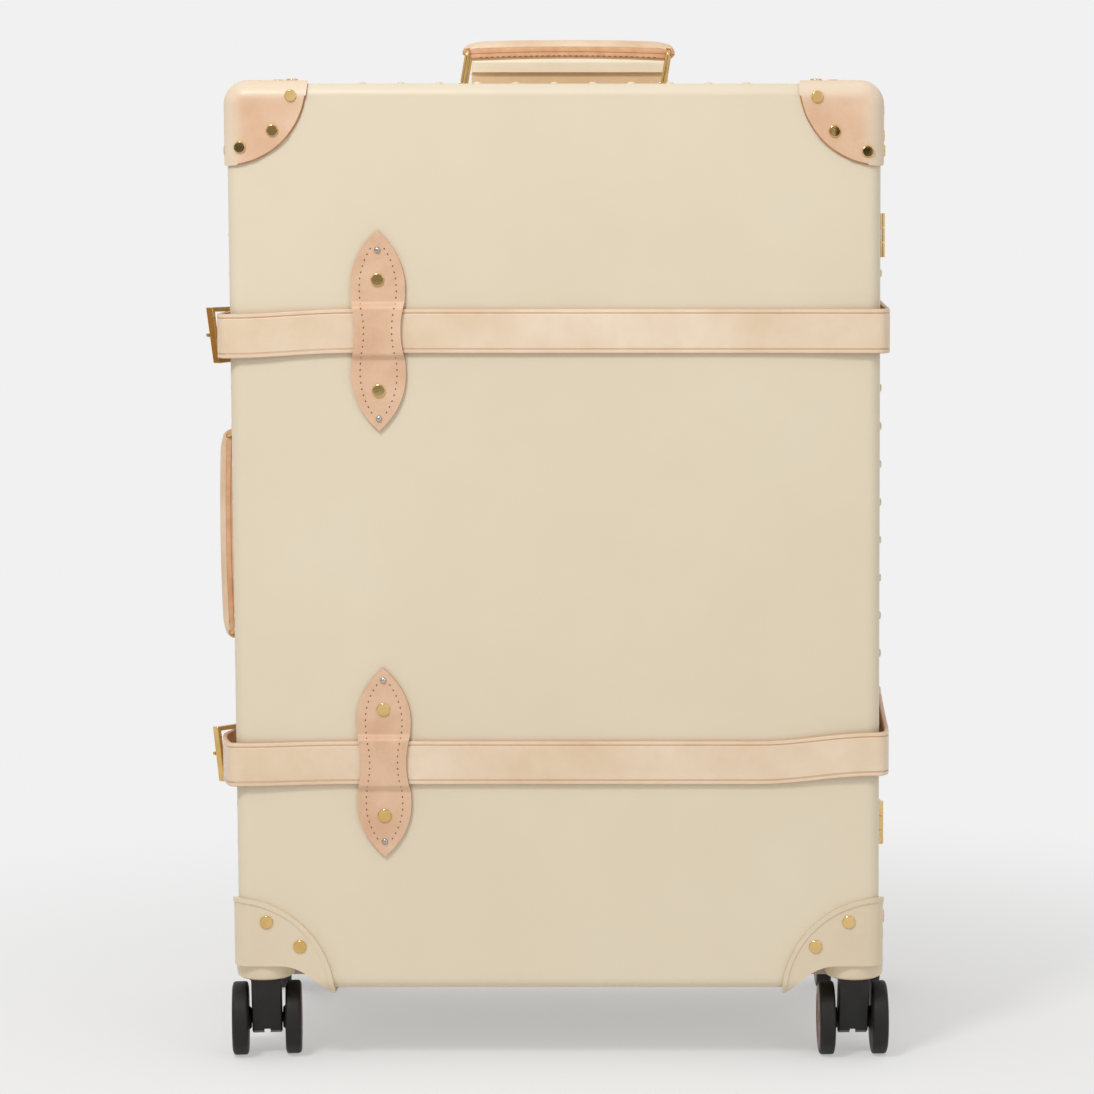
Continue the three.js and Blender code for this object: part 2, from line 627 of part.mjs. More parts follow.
// Rear belt: folded round the buckle's pivot bar, with a sewn loop behind it for the tail.
function rearBelt(belt) {
  const lift = beltMid + BELT_CORNER_LIFT;
  const pivotY = belt.buckleY;
  const flangeEdge = rearY - FLANGE_DEPTH;
  const start = [
    ...REAR_SETTLE_SHARES.map((share) => [-wallX - beltMid, pivotY + (flangeEdge - pivotY) * share]),
    [-caseHalf - lift, rearY - BELT_CORNER_RADIUS * BELT_SIDE_SHARE],
  ];
  const hingeSide = [[wallX + bandInset + lift, seamY + BELT_FLEX_HALF]];
  const points = endRun(1, start, lift, hingeSide);
  const run = beltSolid(belt, points, (points.length - 1) * BELT_SAMPLES_PER_POINT);
  const midHeight = belt.height + belt.leftRise;
  const low = midHeight - beltHalf;
  const high = midHeight + beltHalf;
  const fold = solid(roundRod(FOLD_HOLE_RADIUS + FOLD_LEATHER, low, high).translate(pivotX, pivotY, 0));
  const hole = solid(roundRod(FOLD_HOLE_RADIUS, low - OVERRUN, high + OVERRUN).translate(pivotX, pivotY, 0));
  const prongHalf = PRONG_EYE_WIDTH / 2 + PRONG_SIDE_ROOM;
  const reach = FOLD_HOLE_RADIUS + FOLD_LEATHER + FIT_GAP;
  const prongSlot = solid(block(
    [pivotX - reach, pivotY - reach, midHeight - prongHalf],
    [pivotX + reach, pivotY + reach, midHeight + prongHalf]));
  return run.add(fold).subtract(hole).subtract(prongSlot).add(beltLoop(pivotY, midHeight));
}

function beltLoop(pivotY, midHeight) {
  const fromY = pivotY + LOOP_FROM_PIVOT;
  const toY = fromY + LOOP_WIDTH;
  const beltOuter = FIT_GAP + BELT_THICKNESS;
  const roomHalf = beltHalf + FIT_GAP;
  const outerHalf = roomHalf + LOOP_LEATHER;
  const strap = solid(block(
    [-wallX - beltOuter - LOOP_ROOM - LOOP_LEATHER, fromY, midHeight - outerHalf],
    [-wallX - FIT_GAP, toY, midHeight + outerHalf]));
  const room = solid(block(
    [-wallX - beltOuter - LOOP_ROOM, fromY - OVERRUN, midHeight - roomHalf],
    [-wallX - beltOuter, toY + OVERRUN, midHeight + roomHalf]));
  return strap.subtract(room);
}

// The short stretch of belt that bends when the case opens
function flexBelt(belt) {
  const x = wallX + bandInset + beltMid + BELT_CORNER_LIFT;
  const end = BELT_FLEX_HALF - FIT_GAP;
  return beltSolid(belt, [[x, seamY - end], [x, seamY], [x, seamY + end]], EDGE_PIECES);
}

function addBelts() {
  for (const belt of belts) {
    place(`${belt.level}_belt_front`, geometryOf(frontBelt(belt)), beltLeather);
    place(`${belt.level}_belt_rear`, geometryOf(rearBelt(belt)), beltLeather);
    place(`${belt.level}_belt_flex`, geometryOf(flexBelt(belt)), beltLeather);
  }
}

// Keeper tabs: waisted leather with pointed ends, sewn and riveted above and below the belt that they cross.
// Points are shares of half the length and of half the lobe's or waist's width.
const TAB_TIP_WIDTH_SHARE = 0.4;
const TAB_TIP_LENGTH_SHARE = 0.82;
const TAB_SHOULDER_SHARE = 0.62;
const TAB_WAIST_SHARE = 0.5;

function tabOutline(x, midHeight, length) {
  const half = length / 2;
  const lobe = TAB_WIDTH / 2;
  const waist = TAB_WAIST / 2;
  const quarter = (signX, signZ, inwards) => {
    const at = (across, up) => [x + signX * across, midHeight + signZ * up];
    const tipCurve = [at(lobe * TAB_TIP_WIDTH_SHARE, half * TAB_TIP_LENGTH_SHARE),
      at(lobe, half * TAB_SHOULDER_SHARE), at(lobe, TAB_LOBE_HEIGHT)];
    const waistCurve = [at(lobe, TAB_LOBE_HEIGHT * TAB_WAIST_SHARE),
      at(waist, TAB_LOBE_HEIGHT * TAB_WAIST_SHARE), at(waist, 0)];
    return inwards ? [tipCurve, waistCurve]
      : [[waistCurve[1], waistCurve[0], tipCurve[2]], [tipCurve[1], tipCurve[0], at(0, half)]];
  };
  const outline = new THREE.Shape();
  outline.moveTo(x, midHeight - half);
  const curves = [...quarter(1, -1, true), ...quarter(1, 1, false), ...quarter(-1, 1, true),
    ...quarter(-1, -1, false)];
  for (const [first, second, end] of curves) outline.bezierCurveTo(...first, ...second, ...end);
  return outline;
}

function tabGeometry(x, midHeight, length, faceSign) {
  const low = FIT_GAP;
  const high = low + BELT_THICKNESS + FIT_GAP;
  const end = length;
  const bridge = beltHalf + FIT_GAP;
  const inner = [[low, -end], [low, -bridge - TAB_RAMP], [high, -bridge], [high, bridge],
    [low, bridge + TAB_RAMP], [low, end]];
  const outer = inner.map(([off, up]) => [off + TAB_THICKNESS, up]).reverse();
  const points = [...inner, ...outer]
    .map(([off, up]) => new THREE.Vector2(faceSign * (rearY + off), midHeight + up));
  const bridged = solid(alongX(new THREE.Shape(points), x - TAB_WIDTH, x + TAB_WIDTH));
  const cut = solid(alongY(tabOutline(x, midHeight, length), -CASE_DEPTH, CASE_DEPTH, 0, 1, EDGE_PIECES));
  return geometryOf(bridged.intersect(cut));
}

function addTabs() {
  for (const { level, height, tabLength } of belts) {
    place(`${level}_tab_front`, tabGeometry(TAB_X, height, tabLength, -1), tabLeather);
    place(`${level}_tab_rear`, tabGeometry(TAB_X, height, tabLength, 1), tabLeather);
  }
}

// Buckles: a tilted frame and a prong, both on the bar that the rear belt is folded round
function buckleFrameGeometry(tilt) {
  const half = BUCKLE_BAR / 2;
  const high = BUCKLE_HEIGHT / 2;
  const outline = roundedRectangle(-BUCKLE_LENGTH - half, -high, half, high, BUCKLE_BAR / 2);
  outline.holes.push(roundedRectangle(-BUCKLE_LENGTH + half, -high + BUCKLE_BAR, -half, high - BUCKLE_BAR,
    BUCKLE_BEVEL, THREE.Path));
  const ring = solid(alongX(outline, -half, half, BUCKLE_BEVEL, 1, 1));
  const front = roundedRectangle(-BUCKLE_LENGTH - half, -high, -BUCKLE_LENGTH + half, high, BUCKLE_BEVEL);
  const deepBar = solid(alongX(front, -BUCKLE_FRONT_DEPTH / 2, BUCKLE_FRONT_DEPTH / 2, BUCKLE_BEVEL, 1, 1));
  return geometryOf(ring.add(deepBar)).rotateZ(-tilt);
}

function prongGeometry(frameTilt) {
  const half = PRONG_EYE_WIDTH / 2;
  const overBar = BUCKLE_FRONT_DEPTH / 2 + FIT_GAP + PRONG_RADIUS;
  const tilt = frameTilt + Math.asin(overBar / (BUCKLE_LENGTH - BUCKLE_BAR / 2));
  const eye = solid(roundRod(PRONG_EYE_RADIUS, -half, half));
  const hole = solid(roundRod(FOLD_HOLE_RADIUS, -half - OVERRUN, half + OVERRUN));
  const pin = solid(new THREE.CapsuleGeometry(PRONG_RADIUS, PRONG_LENGTH - FOLD_HOLE_RADIUS - PRONG_RADIUS, 2,
    SMALL_PIECES).translate(0, -(PRONG_LENGTH + FOLD_HOLE_RADIUS + PRONG_RADIUS) / 2, 0).rotateZ(-tilt));
  return geometryOf(eye.add(pin).subtract(hole));
}

function addBuckles() {
  for (const belt of belts) {
    const buckle = new THREE.Group();
    const tilt = Math.asin(belt.buckleTilt / BUCKLE_LENGTH);
    buckle.position.set(pivotX, belt.buckleY, belt.height + belt.leftRise);
    suitcase.add(buckle);
    place(`${belt.level}_buckle_frame`, buckleFrameGeometry(tilt), gold, buckle);
    place(`${belt.level}_buckle_prong`, prongGeometry(tilt), gold, buckle);
  }
}

// Hinges: the base leaf carries the middle knuckle and the pin, the lid leaf the two outer knuckles.
const KNUCKLE_SHARES = [-1, -1 / 3, 1 / 3, 1];

function hingeLeaf(towards, bands) {
  const half = HINGE_HEIGHT / 2;
  const clear = KNUCKLE_RADIUS + FIT_GAP;
  const x = wallX + FIT_GAP;
  const far = seamY + towards * (clear + HINGE_LEAF_WIDTH);
  const near = seamY + towards * clear;
  const leaf = solid(block([x, Math.min(far, near), -half], [x + HINGE_LEAF, Math.max(far, near), half]));
  return bands.reduce((body, band) => {
    const low = half * KNUCKLE_SHARES[band] + FIT_GAP / 2;
    const high = half * KNUCKLE_SHARES[band + 1] - FIT_GAP / 2;
    const knuckle = solid(roundRod(KNUCKLE_RADIUS, low, high)
      .translate(x + KNUCKLE_RADIUS, seamY, 0));
    const web = solid(block([x, Math.min(seamY, near + towards), low],
      [x + HINGE_LEAF, Math.max(seamY, near + towards), high]));
    return body.add(knuckle).add(web);
  }, leaf);
}

function addHinges() {
  const half = HINGE_HEIGHT / 2;
  const pinX = wallX + FIT_GAP + KNUCKLE_RADIUS;
  const pin = solid(roundRod(PIN_RADIUS, -half, half, SMALL_PIECES).translate(pinX, seamY, 0));
  const bore = solid(roundRod(PIN_RADIUS + PIN_CLEARANCE, -half - OVERRUN, half + OVERRUN, SMALL_PIECES)
    .translate(pinX, seamY, 0));
  for (const [level, height] of [['upper', UPPER_HINGE_Z], ['lower', LOWER_HINGE_Z]]) {
    const base = geometryOf(hingeLeaf(1, [1]).add(pin)).translate(0, 0, height);
    const lid = geometryOf(hingeLeaf(-1, [0, 2]).subtract(bore)).translate(0, 0, height);
    place(`${level}_hinge_base_leaf`, base, gold);
    place(`${level}_hinge_lid_leaf`, lid, gold);
  }
}

// Locks: a stepped case with a sliding button on the base, and a hinged hasp on a plate on the lid.
// Every piece is made for the left side, with its face towards -X.
const leftFace = -wallX - FIT_GAP;

function lockCase() {
  const half = LOCK_HEIGHT / 2;
  const near = seamY + LOCK_TO_SEAM;
  const far = near + LOCK_CASE_LENGTH;
  const outline = roundedRectangle(near, -half, far, half, LOCK_CORNER);
  const body = solid(alongX(outline, leftFace - LOCK_CASE_HEIGHT, leftFace + LOCK_EDGE, LOCK_EDGE, 1, 1));
  const behindWall = solid(block(
    [leftFace, near - OVERRUN, -OVERRUN],
    [leftFace + OVERRUN, far + OVERRUN, OVERRUN]));
  const step = solid(block([leftFace - OVERRUN, near - OVERRUN, -OVERRUN],
    [leftFace - LOCK_STEP_HEIGHT, near + LOCK_STEP_LENGTH, OVERRUN]));
  const noseHalf = HASP_NOSE_HEIGHT / 2;
  const noseFar = haspPivotY + HASP_REACH;
  const pocket = solid(block(
    [leftFace - OVERRUN, noseFar - HASP_NOSE_LENGTH - FIT_GAP, -noseHalf - FIT_GAP],
    [leftFace - LOCK_STEP_HEIGHT + HASP_NOSE + FIT_GAP / 2, noseFar, noseHalf + FIT_GAP]));
  const [buttonY] = lockButtonPlace();
  const slotHalfY = LOCK_BUTTON_WIDTH / 2 + FIT_GAP;
  const slotHalfZ = LOCK_BUTTON_LENGTH / 2 + FIT_GAP;
  const slot = solid(block(
    [leftFace - OVERRUN, buttonY - slotHalfY, -slotHalfZ - LOCK_BUTTON_TRAVEL],
    [leftFace - LOCK_CASE_HEIGHT + LOCK_BUTTON_SUNK + FIT_GAP, buttonY + slotHalfY, slotHalfZ]));
  return body.subtract(behindWall).subtract(step).subtract(pocket).subtract(slot);
}

const haspPivotY = seamY - HASP_PIVOT_BEFORE_SEAM;
const haspPivotX = leftFace - HASP_KNUCKLE;

function lockButtonPlace() {
  const stepEnd = seamY + LOCK_TO_SEAM + LOCK_STEP_LENGTH;
  const caseEnd = seamY + LOCK_TO_SEAM + LOCK_CASE_LENGTH;
  return [(stepEnd + caseEnd) / 2, leftFace - LOCK_CASE_HEIGHT];
}

function lockButton() {
  const [y, x] = lockButtonPlace();
  const halfY = LOCK_BUTTON_WIDTH / 2;
  const halfZ = LOCK_BUTTON_LENGTH / 2;
  const outline = roundedRectangle(y - halfY, -halfZ, y + halfY, halfZ, LOCK_EDGE);
  return alongX(outline, x - LOCK_BUTTON_PROUD, x + LOCK_BUTTON_SUNK, LOCK_EDGE / 2, 1, 1);
}

// The plate is riveted to the lid; its two knuckles and pin carry the hasp.
function haspPlate() {
  const half = LOCK_HEIGHT / 2;
  const inner = HASP_HEIGHT / 2;
  const far = haspPivotY - HASP_KNUCKLE - FIT_GAP;
  const outline = roundedRectangle(far - HASP_PLATE_LENGTH, -half, far, half, LOCK_EDGE);
  const plate = solid(alongX(outline, leftFace - HASP_PLATE, leftFace));
  const at = (body) => solid(body.translate(haspPivotX, haspPivotY, 0));
  const pin = at(roundRod(HASP_PIN, -half, half, SMALL_PIECES));
  const ears = [[-half, -inner - FIT_GAP], [inner + FIT_GAP, half]].map(([low, high]) => {
    const web = solid(block([leftFace - HASP_PLATE, far - LOCK_EDGE, low], [leftFace, haspPivotY, high]));
    return at(roundRod(HASP_KNUCKLE, low, high, SMALL_PIECES)).add(web);
  });
  return ears.reduce((body, ear) => body.add(ear), plate).add(pin);
}

function hasp() {
  const half = HASP_HEIGHT / 2;
  const outer = leftFace - LOCK_STEP_HEIGHT - FIT_GAP - HASP_THICKNESS;
  const inner = outer + HASP_THICKNESS;
  const outline = roundedRectangle(haspPivotY, -half, haspPivotY + HASP_REACH, half, LOCK_CORNER);
  const plate = solid(alongX(outline, outer, inner, LOCK_EDGE / 2, 1, 1));
  const knuckle = solid(roundRod(HASP_KNUCKLE, -half, half, SMALL_PIECES)
    .translate(haspPivotX, haspPivotY, 0));
  const bore = solid(roundRod(HASP_PIN + PIN_CLEARANCE, -half - OVERRUN, half + OVERRUN, SMALL_PIECES)
    .translate(haspPivotX, haspPivotY, 0));
  const noseY = haspPivotY + HASP_REACH - HASP_NOSE_LENGTH;
  const noseHalf = HASP_NOSE_HEIGHT / 2;
  const nose = solid(block([outer + LOCK_EDGE, noseY, -noseHalf],
    [inner + HASP_NOSE, noseY + HASP_NOSE_LENGTH - LOCK_TO_SEAM, noseHalf]));
  return plate.add(knuckle).add(nose).subtract(bore);
}

function addLocks() {
  for (const [level, height] of [['upper', UPPER_LOCK_Z], ['lower', LOWER_LOCK_Z]]) {
    place(`${level}_lock_case`, geometryOf(lockCase()).translate(0, 0, height), gold);
    place(`${level}_lock_button`, lockButton().translate(0, 0, height), gold);
    place(`${level}_hasp_plate`, geometryOf(haspPlate()).translate(0, 0, height), gold);
    place(`${level}_hasp`, geometryOf(hasp()).translate(0, 0, height), gold);
  }
}

// A carry handle on a level wall at zero, long along X: saddles, ring links and the grip between them.
// The links lean by the same angle, so the grip stays level while it folds down.
function saddleGeometry() {
  const outer = SADDLE_BORE + SADDLE_METAL;
  const outline = new THREE.Shape();
  outline.moveTo(-outer - SADDLE_FOOT, 0);
  outline.lineTo(-SADDLE_BORE, 0);
  outline.lineTo(-SADDLE_BORE, RING_PIVOT_HEIGHT);
  outline.absarc(0, RING_PIVOT_HEIGHT, SADDLE_BORE, Math.PI, 0, true);
  outline.lineTo(SADDLE_BORE, 0);
  outline.lineTo(outer + SADDLE_FOOT, 0);
  outline.lineTo(outer + SADDLE_FOOT, SADDLE_METAL);
  outline.lineTo(outer, SADDLE_METAL);
  outline.lineTo(outer, RING_PIVOT_HEIGHT);
  outline.absarc(0, RING_PIVOT_HEIGHT, outer, 0, Math.PI, false);
  outline.lineTo(-outer, SADDLE_METAL);
  outline.lineTo(-outer - SADDLE_FOOT, SADDLE_METAL);
  return alongY(outline, -SADDLE_WIDTH / 2, SADDLE_WIDTH / 2);
}

function ringGeometry() {
  const half = RING_WIDTH / 2;
  const wire = RING_WIRE / 2;
  const outline = roundedRectangle(-half, -wire, half, RING_REACH + wire, RING_CORNER);
  outline.holes.push(roundedRectangle(-half + RING_WIRE, wire, half - RING_WIRE, RING_REACH - wire,
    RING_CORNER / 2, THREE.Path));
  return alongX(outline, -wire, wire, RING_BEVEL, 1, 1);
}

function gripGeometry() {
  const half = HANDLE_SPACING / 2;
  const end = half + GRIP_END;
  const outline = new THREE.Shape();
  outline.moveTo(-end, -GRIP_BELOW_BAR);
  outline.quadraticCurveTo(0, -GRIP_BELOW_BAR + GRIP_ARCH * 2, end, -GRIP_BELOW_BAR);
  outline.lineTo(end, GRIP_ABOVE_BAR);
  outline.quadraticCurveTo(0, GRIP_ABOVE_BAR + GRIP_CROWN * 2, -end, GRIP_ABOVE_BAR);
  const body = solid(alongY(outline, -GRIP_DEPTH / 2, GRIP_DEPTH / 2, GRIP_BEVEL, 2, EDGE_PIECES * 2));
  const hole = (x) => solid(alongY(
    roundedRectangle(x - SADDLE_BORE, -SADDLE_BORE, x + SADDLE_BORE, SADDLE_BORE, SADDLE_BORE),
    -OVERRUN, OVERRUN, 0, 1, 2));
  return geometryOf(body.subtract(hole(-half)).subtract(hole(half)));
}

function addHandle(name, leanDegrees) {
  const handle = new THREE.Group();
  const half = HANDLE_SPACING / 2;
  const lean = THREE.MathUtils.degToRad(leanDegrees);
  for (const [side, x] of [['left', -half], ['right', half]]) {
    place(`${name}_saddle_${side}`, saddleGeometry(), gold, handle).position.x = x;
    const ring = place(`${name}_ring_${side}`, ringGeometry(), gold, handle);
    ring.position.set(x, 0, RING_PIVOT_HEIGHT);
    ring.rotation.y = lean;
  }
  const grip = place(`${name}_grip`, gripGeometry(), gripLeather, handle);
  grip.position.set(Math.sin(lean) * RING_REACH, 0, RING_PIVOT_HEIGHT + Math.cos(lean) * RING_REACH);
  suitcase.add(handle);
  return handle;
}

function addHandles() {
  addHandle('top_handle', TOP_HANDLE_LEAN).position.set(TOP_HANDLE_X, handleY, bandTopZ + FIT_GAP);
  const side = addHandle('side_handle', -SIDE_HANDLE_FOLD);
  side.rotation.y = -Math.PI / 2;
  side.position.set(leftFace, handleY, SIDE_HANDLE_Z);
}

// Trolley handle: a bezel with two fixed tubes, and a grip whose rods slide in them
const tubeHalfX = ROD_WIDTH / 2 + ROD_CLEARANCE + TUBE_WALL;
const tubeHalfY = ROD_DEPTH / 2 + ROD_CLEARANCE + TUBE_WALL;
const rodPlaces = [-ROD_SPACING / 2, ROD_SPACING / 2];
const bezelTopZ = bandTopZ + FIT_GAP + BEZEL_HEIGHT;

function upright(x, halfX, halfY, low, high) {
  return solid(block([x - halfX, trolleyY - halfY, low], [x + halfX, trolleyY + halfY, high]));
}

function trolleyHoles() {
  const [left, right] = rodPlaces.map((x) => upright(x, tubeHalfX + FIT_GAP, tubeHalfY + FIT_GAP,
    midZ, topZ + OVERRUN));
  return left.add(right);
}

function trolleyHousing() {
  const outline = roundedRectangle(-BEZEL_LENGTH / 2, trolleyY - BEZEL_WIDTH / 2, BEZEL_LENGTH / 2,
    trolleyY + BEZEL_WIDTH / 2, BEZEL_CORNER);
  const plate = solid(alongZ(outline, bandTopZ + FIT_GAP, bezelTopZ));
  const footZ = bottomZ + TUBE_FOOT_GAP;
  return rodPlaces.reduce((body, x) => body
    .add(upright(x, tubeHalfX, tubeHalfY, footZ, bezelTopZ))
    .subtract(upright(x, tubeHalfX - TUBE_WALL, tubeHalfY - TUBE_WALL,
      footZ - OVERRUN, bezelTopZ + OVERRUN)), plate);
}

function trolleyGrip() {
  const low = bezelTopZ + FIT_GAP;
  const high = low + TROLLEY_GRIP_HEIGHT;
  const half = TROLLEY_GRIP_LENGTH / 2;
  const outline = roundedRectangle(-half, low, half, high, TROLLEY_GRIP_CORNER);
  const bar = solid(alongY(outline, trolleyY - TROLLEY_GRIP_DEPTH / 2, trolleyY + TROLLEY_GRIP_DEPTH / 2,
    TROLLEY_GRIP_BEVEL, 2));
  const pocket = buttonSolid(FIT_GAP, high);
  const rodFoot = low - TROLLEY_TRAVEL - ROD_OVERLAP;
  return rodPlaces.reduce((body, x) => body
    .add(upright(x, ROD_WIDTH / 2, ROD_DEPTH / 2, rodFoot, low + TROLLEY_GRIP_BEVEL)), bar).subtract(pocket);
}

function buttonSolid(grow, gripTop) {
  const outline = roundedRectangle(-BUTTON_LENGTH / 2 - grow, trolleyY - BUTTON_WIDTH / 2 - grow,
    BUTTON_LENGTH / 2 + grow, trolleyY + BUTTON_WIDTH / 2 + grow, BUTTON_WIDTH / 2 + grow);
  const travelRoom = grow > 0 ? BUTTON_PROUD : 0;
  return solid(alongZ(outline, gripTop - BUTTON_SUNK - grow - travelRoom, gripTop + BUTTON_PROUD));
}

function addTrolley() {
  place('trolley_housing', geometryOf(trolleyHousing()), blackPlastic);
  place('trolley_grip', geometryOf(trolleyGrip()), creamPlastic);
  const gripTop = bezelTopZ + FIT_GAP + TROLLEY_GRIP_HEIGHT;
  place('trolley_button', geometryOf(buttonSolid(0, gripTop)), creamPlastic);
}

// Stand the model on the origin: the middle of its footprint, on the floor.
function centreOnFloor() {
  const bounds = new THREE.Box3().setFromObject(suitcase);
  const centre = bounds.getCenter(new THREE.Vector3());
  suitcase.position.set(-centre.x, -centre.y, -bounds.min.z);
  suitcase.updateMatrixWorld(true);
}

addShells();
addGuards();
addHousings();
addCasters();
addBelts();
addTabs();
addBuckles();
addHinges();
addLocks();
addHandles();
addTrolley();
centreOnFloor();

export default suitcase;
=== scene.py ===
"""A trunk-style suitcase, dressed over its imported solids: fibreboard shells on a wooden frame, leather
belts, corner guards and handles, gold fittings, moulded wheel housings and casters. Metres, Z up."""
import json
import math

import bmesh
import bpy
from mathutils import Matrix, Vector
from mathutils.bvhtree import BVHTree
from mathutils.geometry import interpolate_bezier


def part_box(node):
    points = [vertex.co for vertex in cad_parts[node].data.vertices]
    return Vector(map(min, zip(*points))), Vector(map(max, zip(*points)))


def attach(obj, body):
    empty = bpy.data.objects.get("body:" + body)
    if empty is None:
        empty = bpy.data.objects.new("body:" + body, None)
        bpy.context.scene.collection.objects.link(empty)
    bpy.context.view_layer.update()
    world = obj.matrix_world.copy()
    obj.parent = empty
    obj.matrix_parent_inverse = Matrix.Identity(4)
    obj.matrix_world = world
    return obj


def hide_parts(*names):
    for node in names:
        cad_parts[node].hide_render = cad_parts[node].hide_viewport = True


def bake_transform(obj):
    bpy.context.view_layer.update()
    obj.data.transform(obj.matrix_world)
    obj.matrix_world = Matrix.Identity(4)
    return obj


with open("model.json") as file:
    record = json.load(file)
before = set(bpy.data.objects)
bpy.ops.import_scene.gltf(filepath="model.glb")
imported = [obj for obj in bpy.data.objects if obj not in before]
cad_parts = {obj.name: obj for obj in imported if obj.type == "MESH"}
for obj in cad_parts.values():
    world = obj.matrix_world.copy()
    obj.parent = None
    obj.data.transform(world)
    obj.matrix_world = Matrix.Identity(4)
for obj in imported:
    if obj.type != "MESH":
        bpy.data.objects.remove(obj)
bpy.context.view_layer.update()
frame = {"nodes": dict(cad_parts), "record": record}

# The case itself gives the middle and the ends that everything is placed from.
lid_low, lid_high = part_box("lid_tray")
base_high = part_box("base_tray")[1]
MIDDLE_X = (lid_low.x + lid_high.x) / 2
MIDDLE_Y = (lid_low.y + base_high.y) / 2
HALF_WIDTH = (lid_high.x - lid_low.x) / 2
HALF_DEPTH = (base_high.y - lid_low.y) / 2
BOTTOM_Z, TOP_Z = lid_low.z, lid_high.z

# The camera stands 2.9 m in front of the case, 0.18 m to its right and just above the upper belt's tabs,
# and looks slightly down; the picture is its left part, as in the photograph.
PHOTO = 1094
FOCAL_PIXELS = 3508
lens = bpy.data.cameras.new("lens")
lens.sensor_width = 36
lens.lens = FOCAL_PIXELS * lens.sensor_width / PHOTO
lens.shift_x = -233.1 / PHOTO
lens.clip_end = 50
camera = bpy.data.objects.new("camera", lens)
bpy.context.scene.collection.objects.link(camera)
camera.location = (MIDDLE_X + 0.1772, MIDDLE_Y - 2.902, 0.6816)
camera.rotation_euler = (math.radians(90 - 5.51), 0, 0)
bpy.context.scene.camera = camera
bpy.context.scene.view_settings.view_transform = "Standard"

# Shells: two pressed trays of cream vulcanised fibreboard, 2 mm thick, riveted over side bands of the same
# board. The board has faint cloudy patches and a fine pressed texture, and is lined inside with a striped
# cotton. Copies of the solids, merged and smooth-shaded, carry the finish.


def shade(hexadecimal):
    """A colour as it is seen, such as e0d2b8, made the linear colour that a shader takes."""
    parts = [int(hexadecimal[i:i + 2], 16) / 255 for i in (0, 2, 4)]
    return (*[p / 12.92 if p <= 0.04045 else ((p + 0.055) / 1.055) ** 2.4 for p in parts], 1)


def add_node(material, kind, **values):
    """A node in the material; values are its properties, or its inputs by their place or name."""
    node = material.node_tree.nodes.new(kind)
    for key, value in values.items():
        if key in node.bl_rna.properties:
            setattr(node, key, value)
        else:
            node.inputs[key.replace("_", " ")].default_value = value
    return node


def join(material, *links):
    """Links as (from node, output, to node, input)."""
    for source, output, target, entry in links:
        material.node_tree.links.new(source.outputs[output], target.inputs[entry])


def shader_of(material):
    return material.node_tree.nodes["Principled BSDF"]


def clouded(name, dark, light, patch, grain, depth, rough, metal=0.0, coat=0.0):
    """A surface with cloudy patches between two colours, a fine grain that stands out by depth, and a
    roughness that follows the patches. patch and grain are the sizes of the patches and of the grain."""
    material = bpy.data.materials.new(name)
    material.use_nodes = True
    shader = shader_of(material)
    place = add_node(material, "ShaderNodeTexCoord")
    patches = add_node(material, "ShaderNodeTexNoise", Scale=1 / patch, Detail=5, Roughness=0.6)
    spread = add_node(material, "ShaderNodeMapRange", From_Min=0.32, From_Max=0.68)
    tint = add_node(material, "ShaderNodeMix", data_type="RGBA")
    tint.inputs[6].default_value = shade(dark)
    tint.inputs[7].default_value = shade(light)
    gloss = add_node(material, "ShaderNodeMapRange", To_Min=rough[0], To_Max=rough[1])
    pores = add_node(material, "ShaderNodeTexNoise", Scale=1 / grain, Detail=3, Roughness=0.65)
    relief = add_node(material, "ShaderNodeBump", Strength=1, Distance=depth)
    join(material, (place, "Object", patches, "Vector"), (place, "Object", pores, "Vector"),
         (patches, "Fac", spread, "Value"), (spread, "Result", tint, 0),
         (spread, "Result", gloss, "Value"), (pores, "Fac", relief, "Height"),
         (tint, 2, shader, "Base Color"), (gloss, "Result", shader, "Roughness"),
         (relief, "Normal", shader, "Normal"))
    tint.name, relief.name, pores.name = "tint", "relief", "pores"
    shader.inputs["Metallic"].default_value = metal
    shader.inputs["Coat Weight"].default_value = coat
    shader.inputs["Coat Roughness"].default_value = 0.25
    return material


def overlaid(material, blend_type, amount=None, colour=None):
    """A mix over the cloudy tint, made the base colour: input 0 is how much of input 7 goes over it."""
    over = add_node(material, "ShaderNodeMix", data_type="RGBA", blend_type=blend_type)
    if amount is not None:
        over.inputs[0].default_value = amount
    if colour:
        over.inputs[7].default_value = shade(colour)
    join(material, (material.node_tree.nodes["tint"], 2, over, 6),
         (over, 2, shader_of(material), "Base Color"))
    return over


def finished(name, mesh, materials, body, stands_for=(), crease=35, rim=0.0, rim_steps=2):
    """An object of the bmesh, smooth-shaded up to the crease angle, riding on its body. rim rounds its
    edges by that much. Where it stands for solids, they are hidden."""
    data = bpy.data.meshes.new(name)
    mesh.to_mesh(data)
    mesh.free()
    piece = bpy.data.objects.new(name, data)
    bpy.context.scene.collection.objects.link(piece)
    for material in materials:
        data.materials.append(material)
    data.shade_smooth()
    if rim:
        soften = piece.modifiers.new("rim", "BEVEL")
        soften.width, soften.segments, soften.limit_method = rim, rim_steps, "ANGLE"
        soften.angle_limit = math.radians(crease)
    else:
        data.set_sharp_from_angle(angle=math.radians(crease))
    even = piece.modifiers.new("even", "WEIGHTED_NORMAL")
    even.keep_sharp = True
    if stands_for:
        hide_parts(*stands_for)
    if body:
        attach(piece, body)
    return piece


bodies = frame["record"]["behaviour"]["bodies"]
body_of_node = {node: body for body, nodes in bodies.items() for node in nodes}


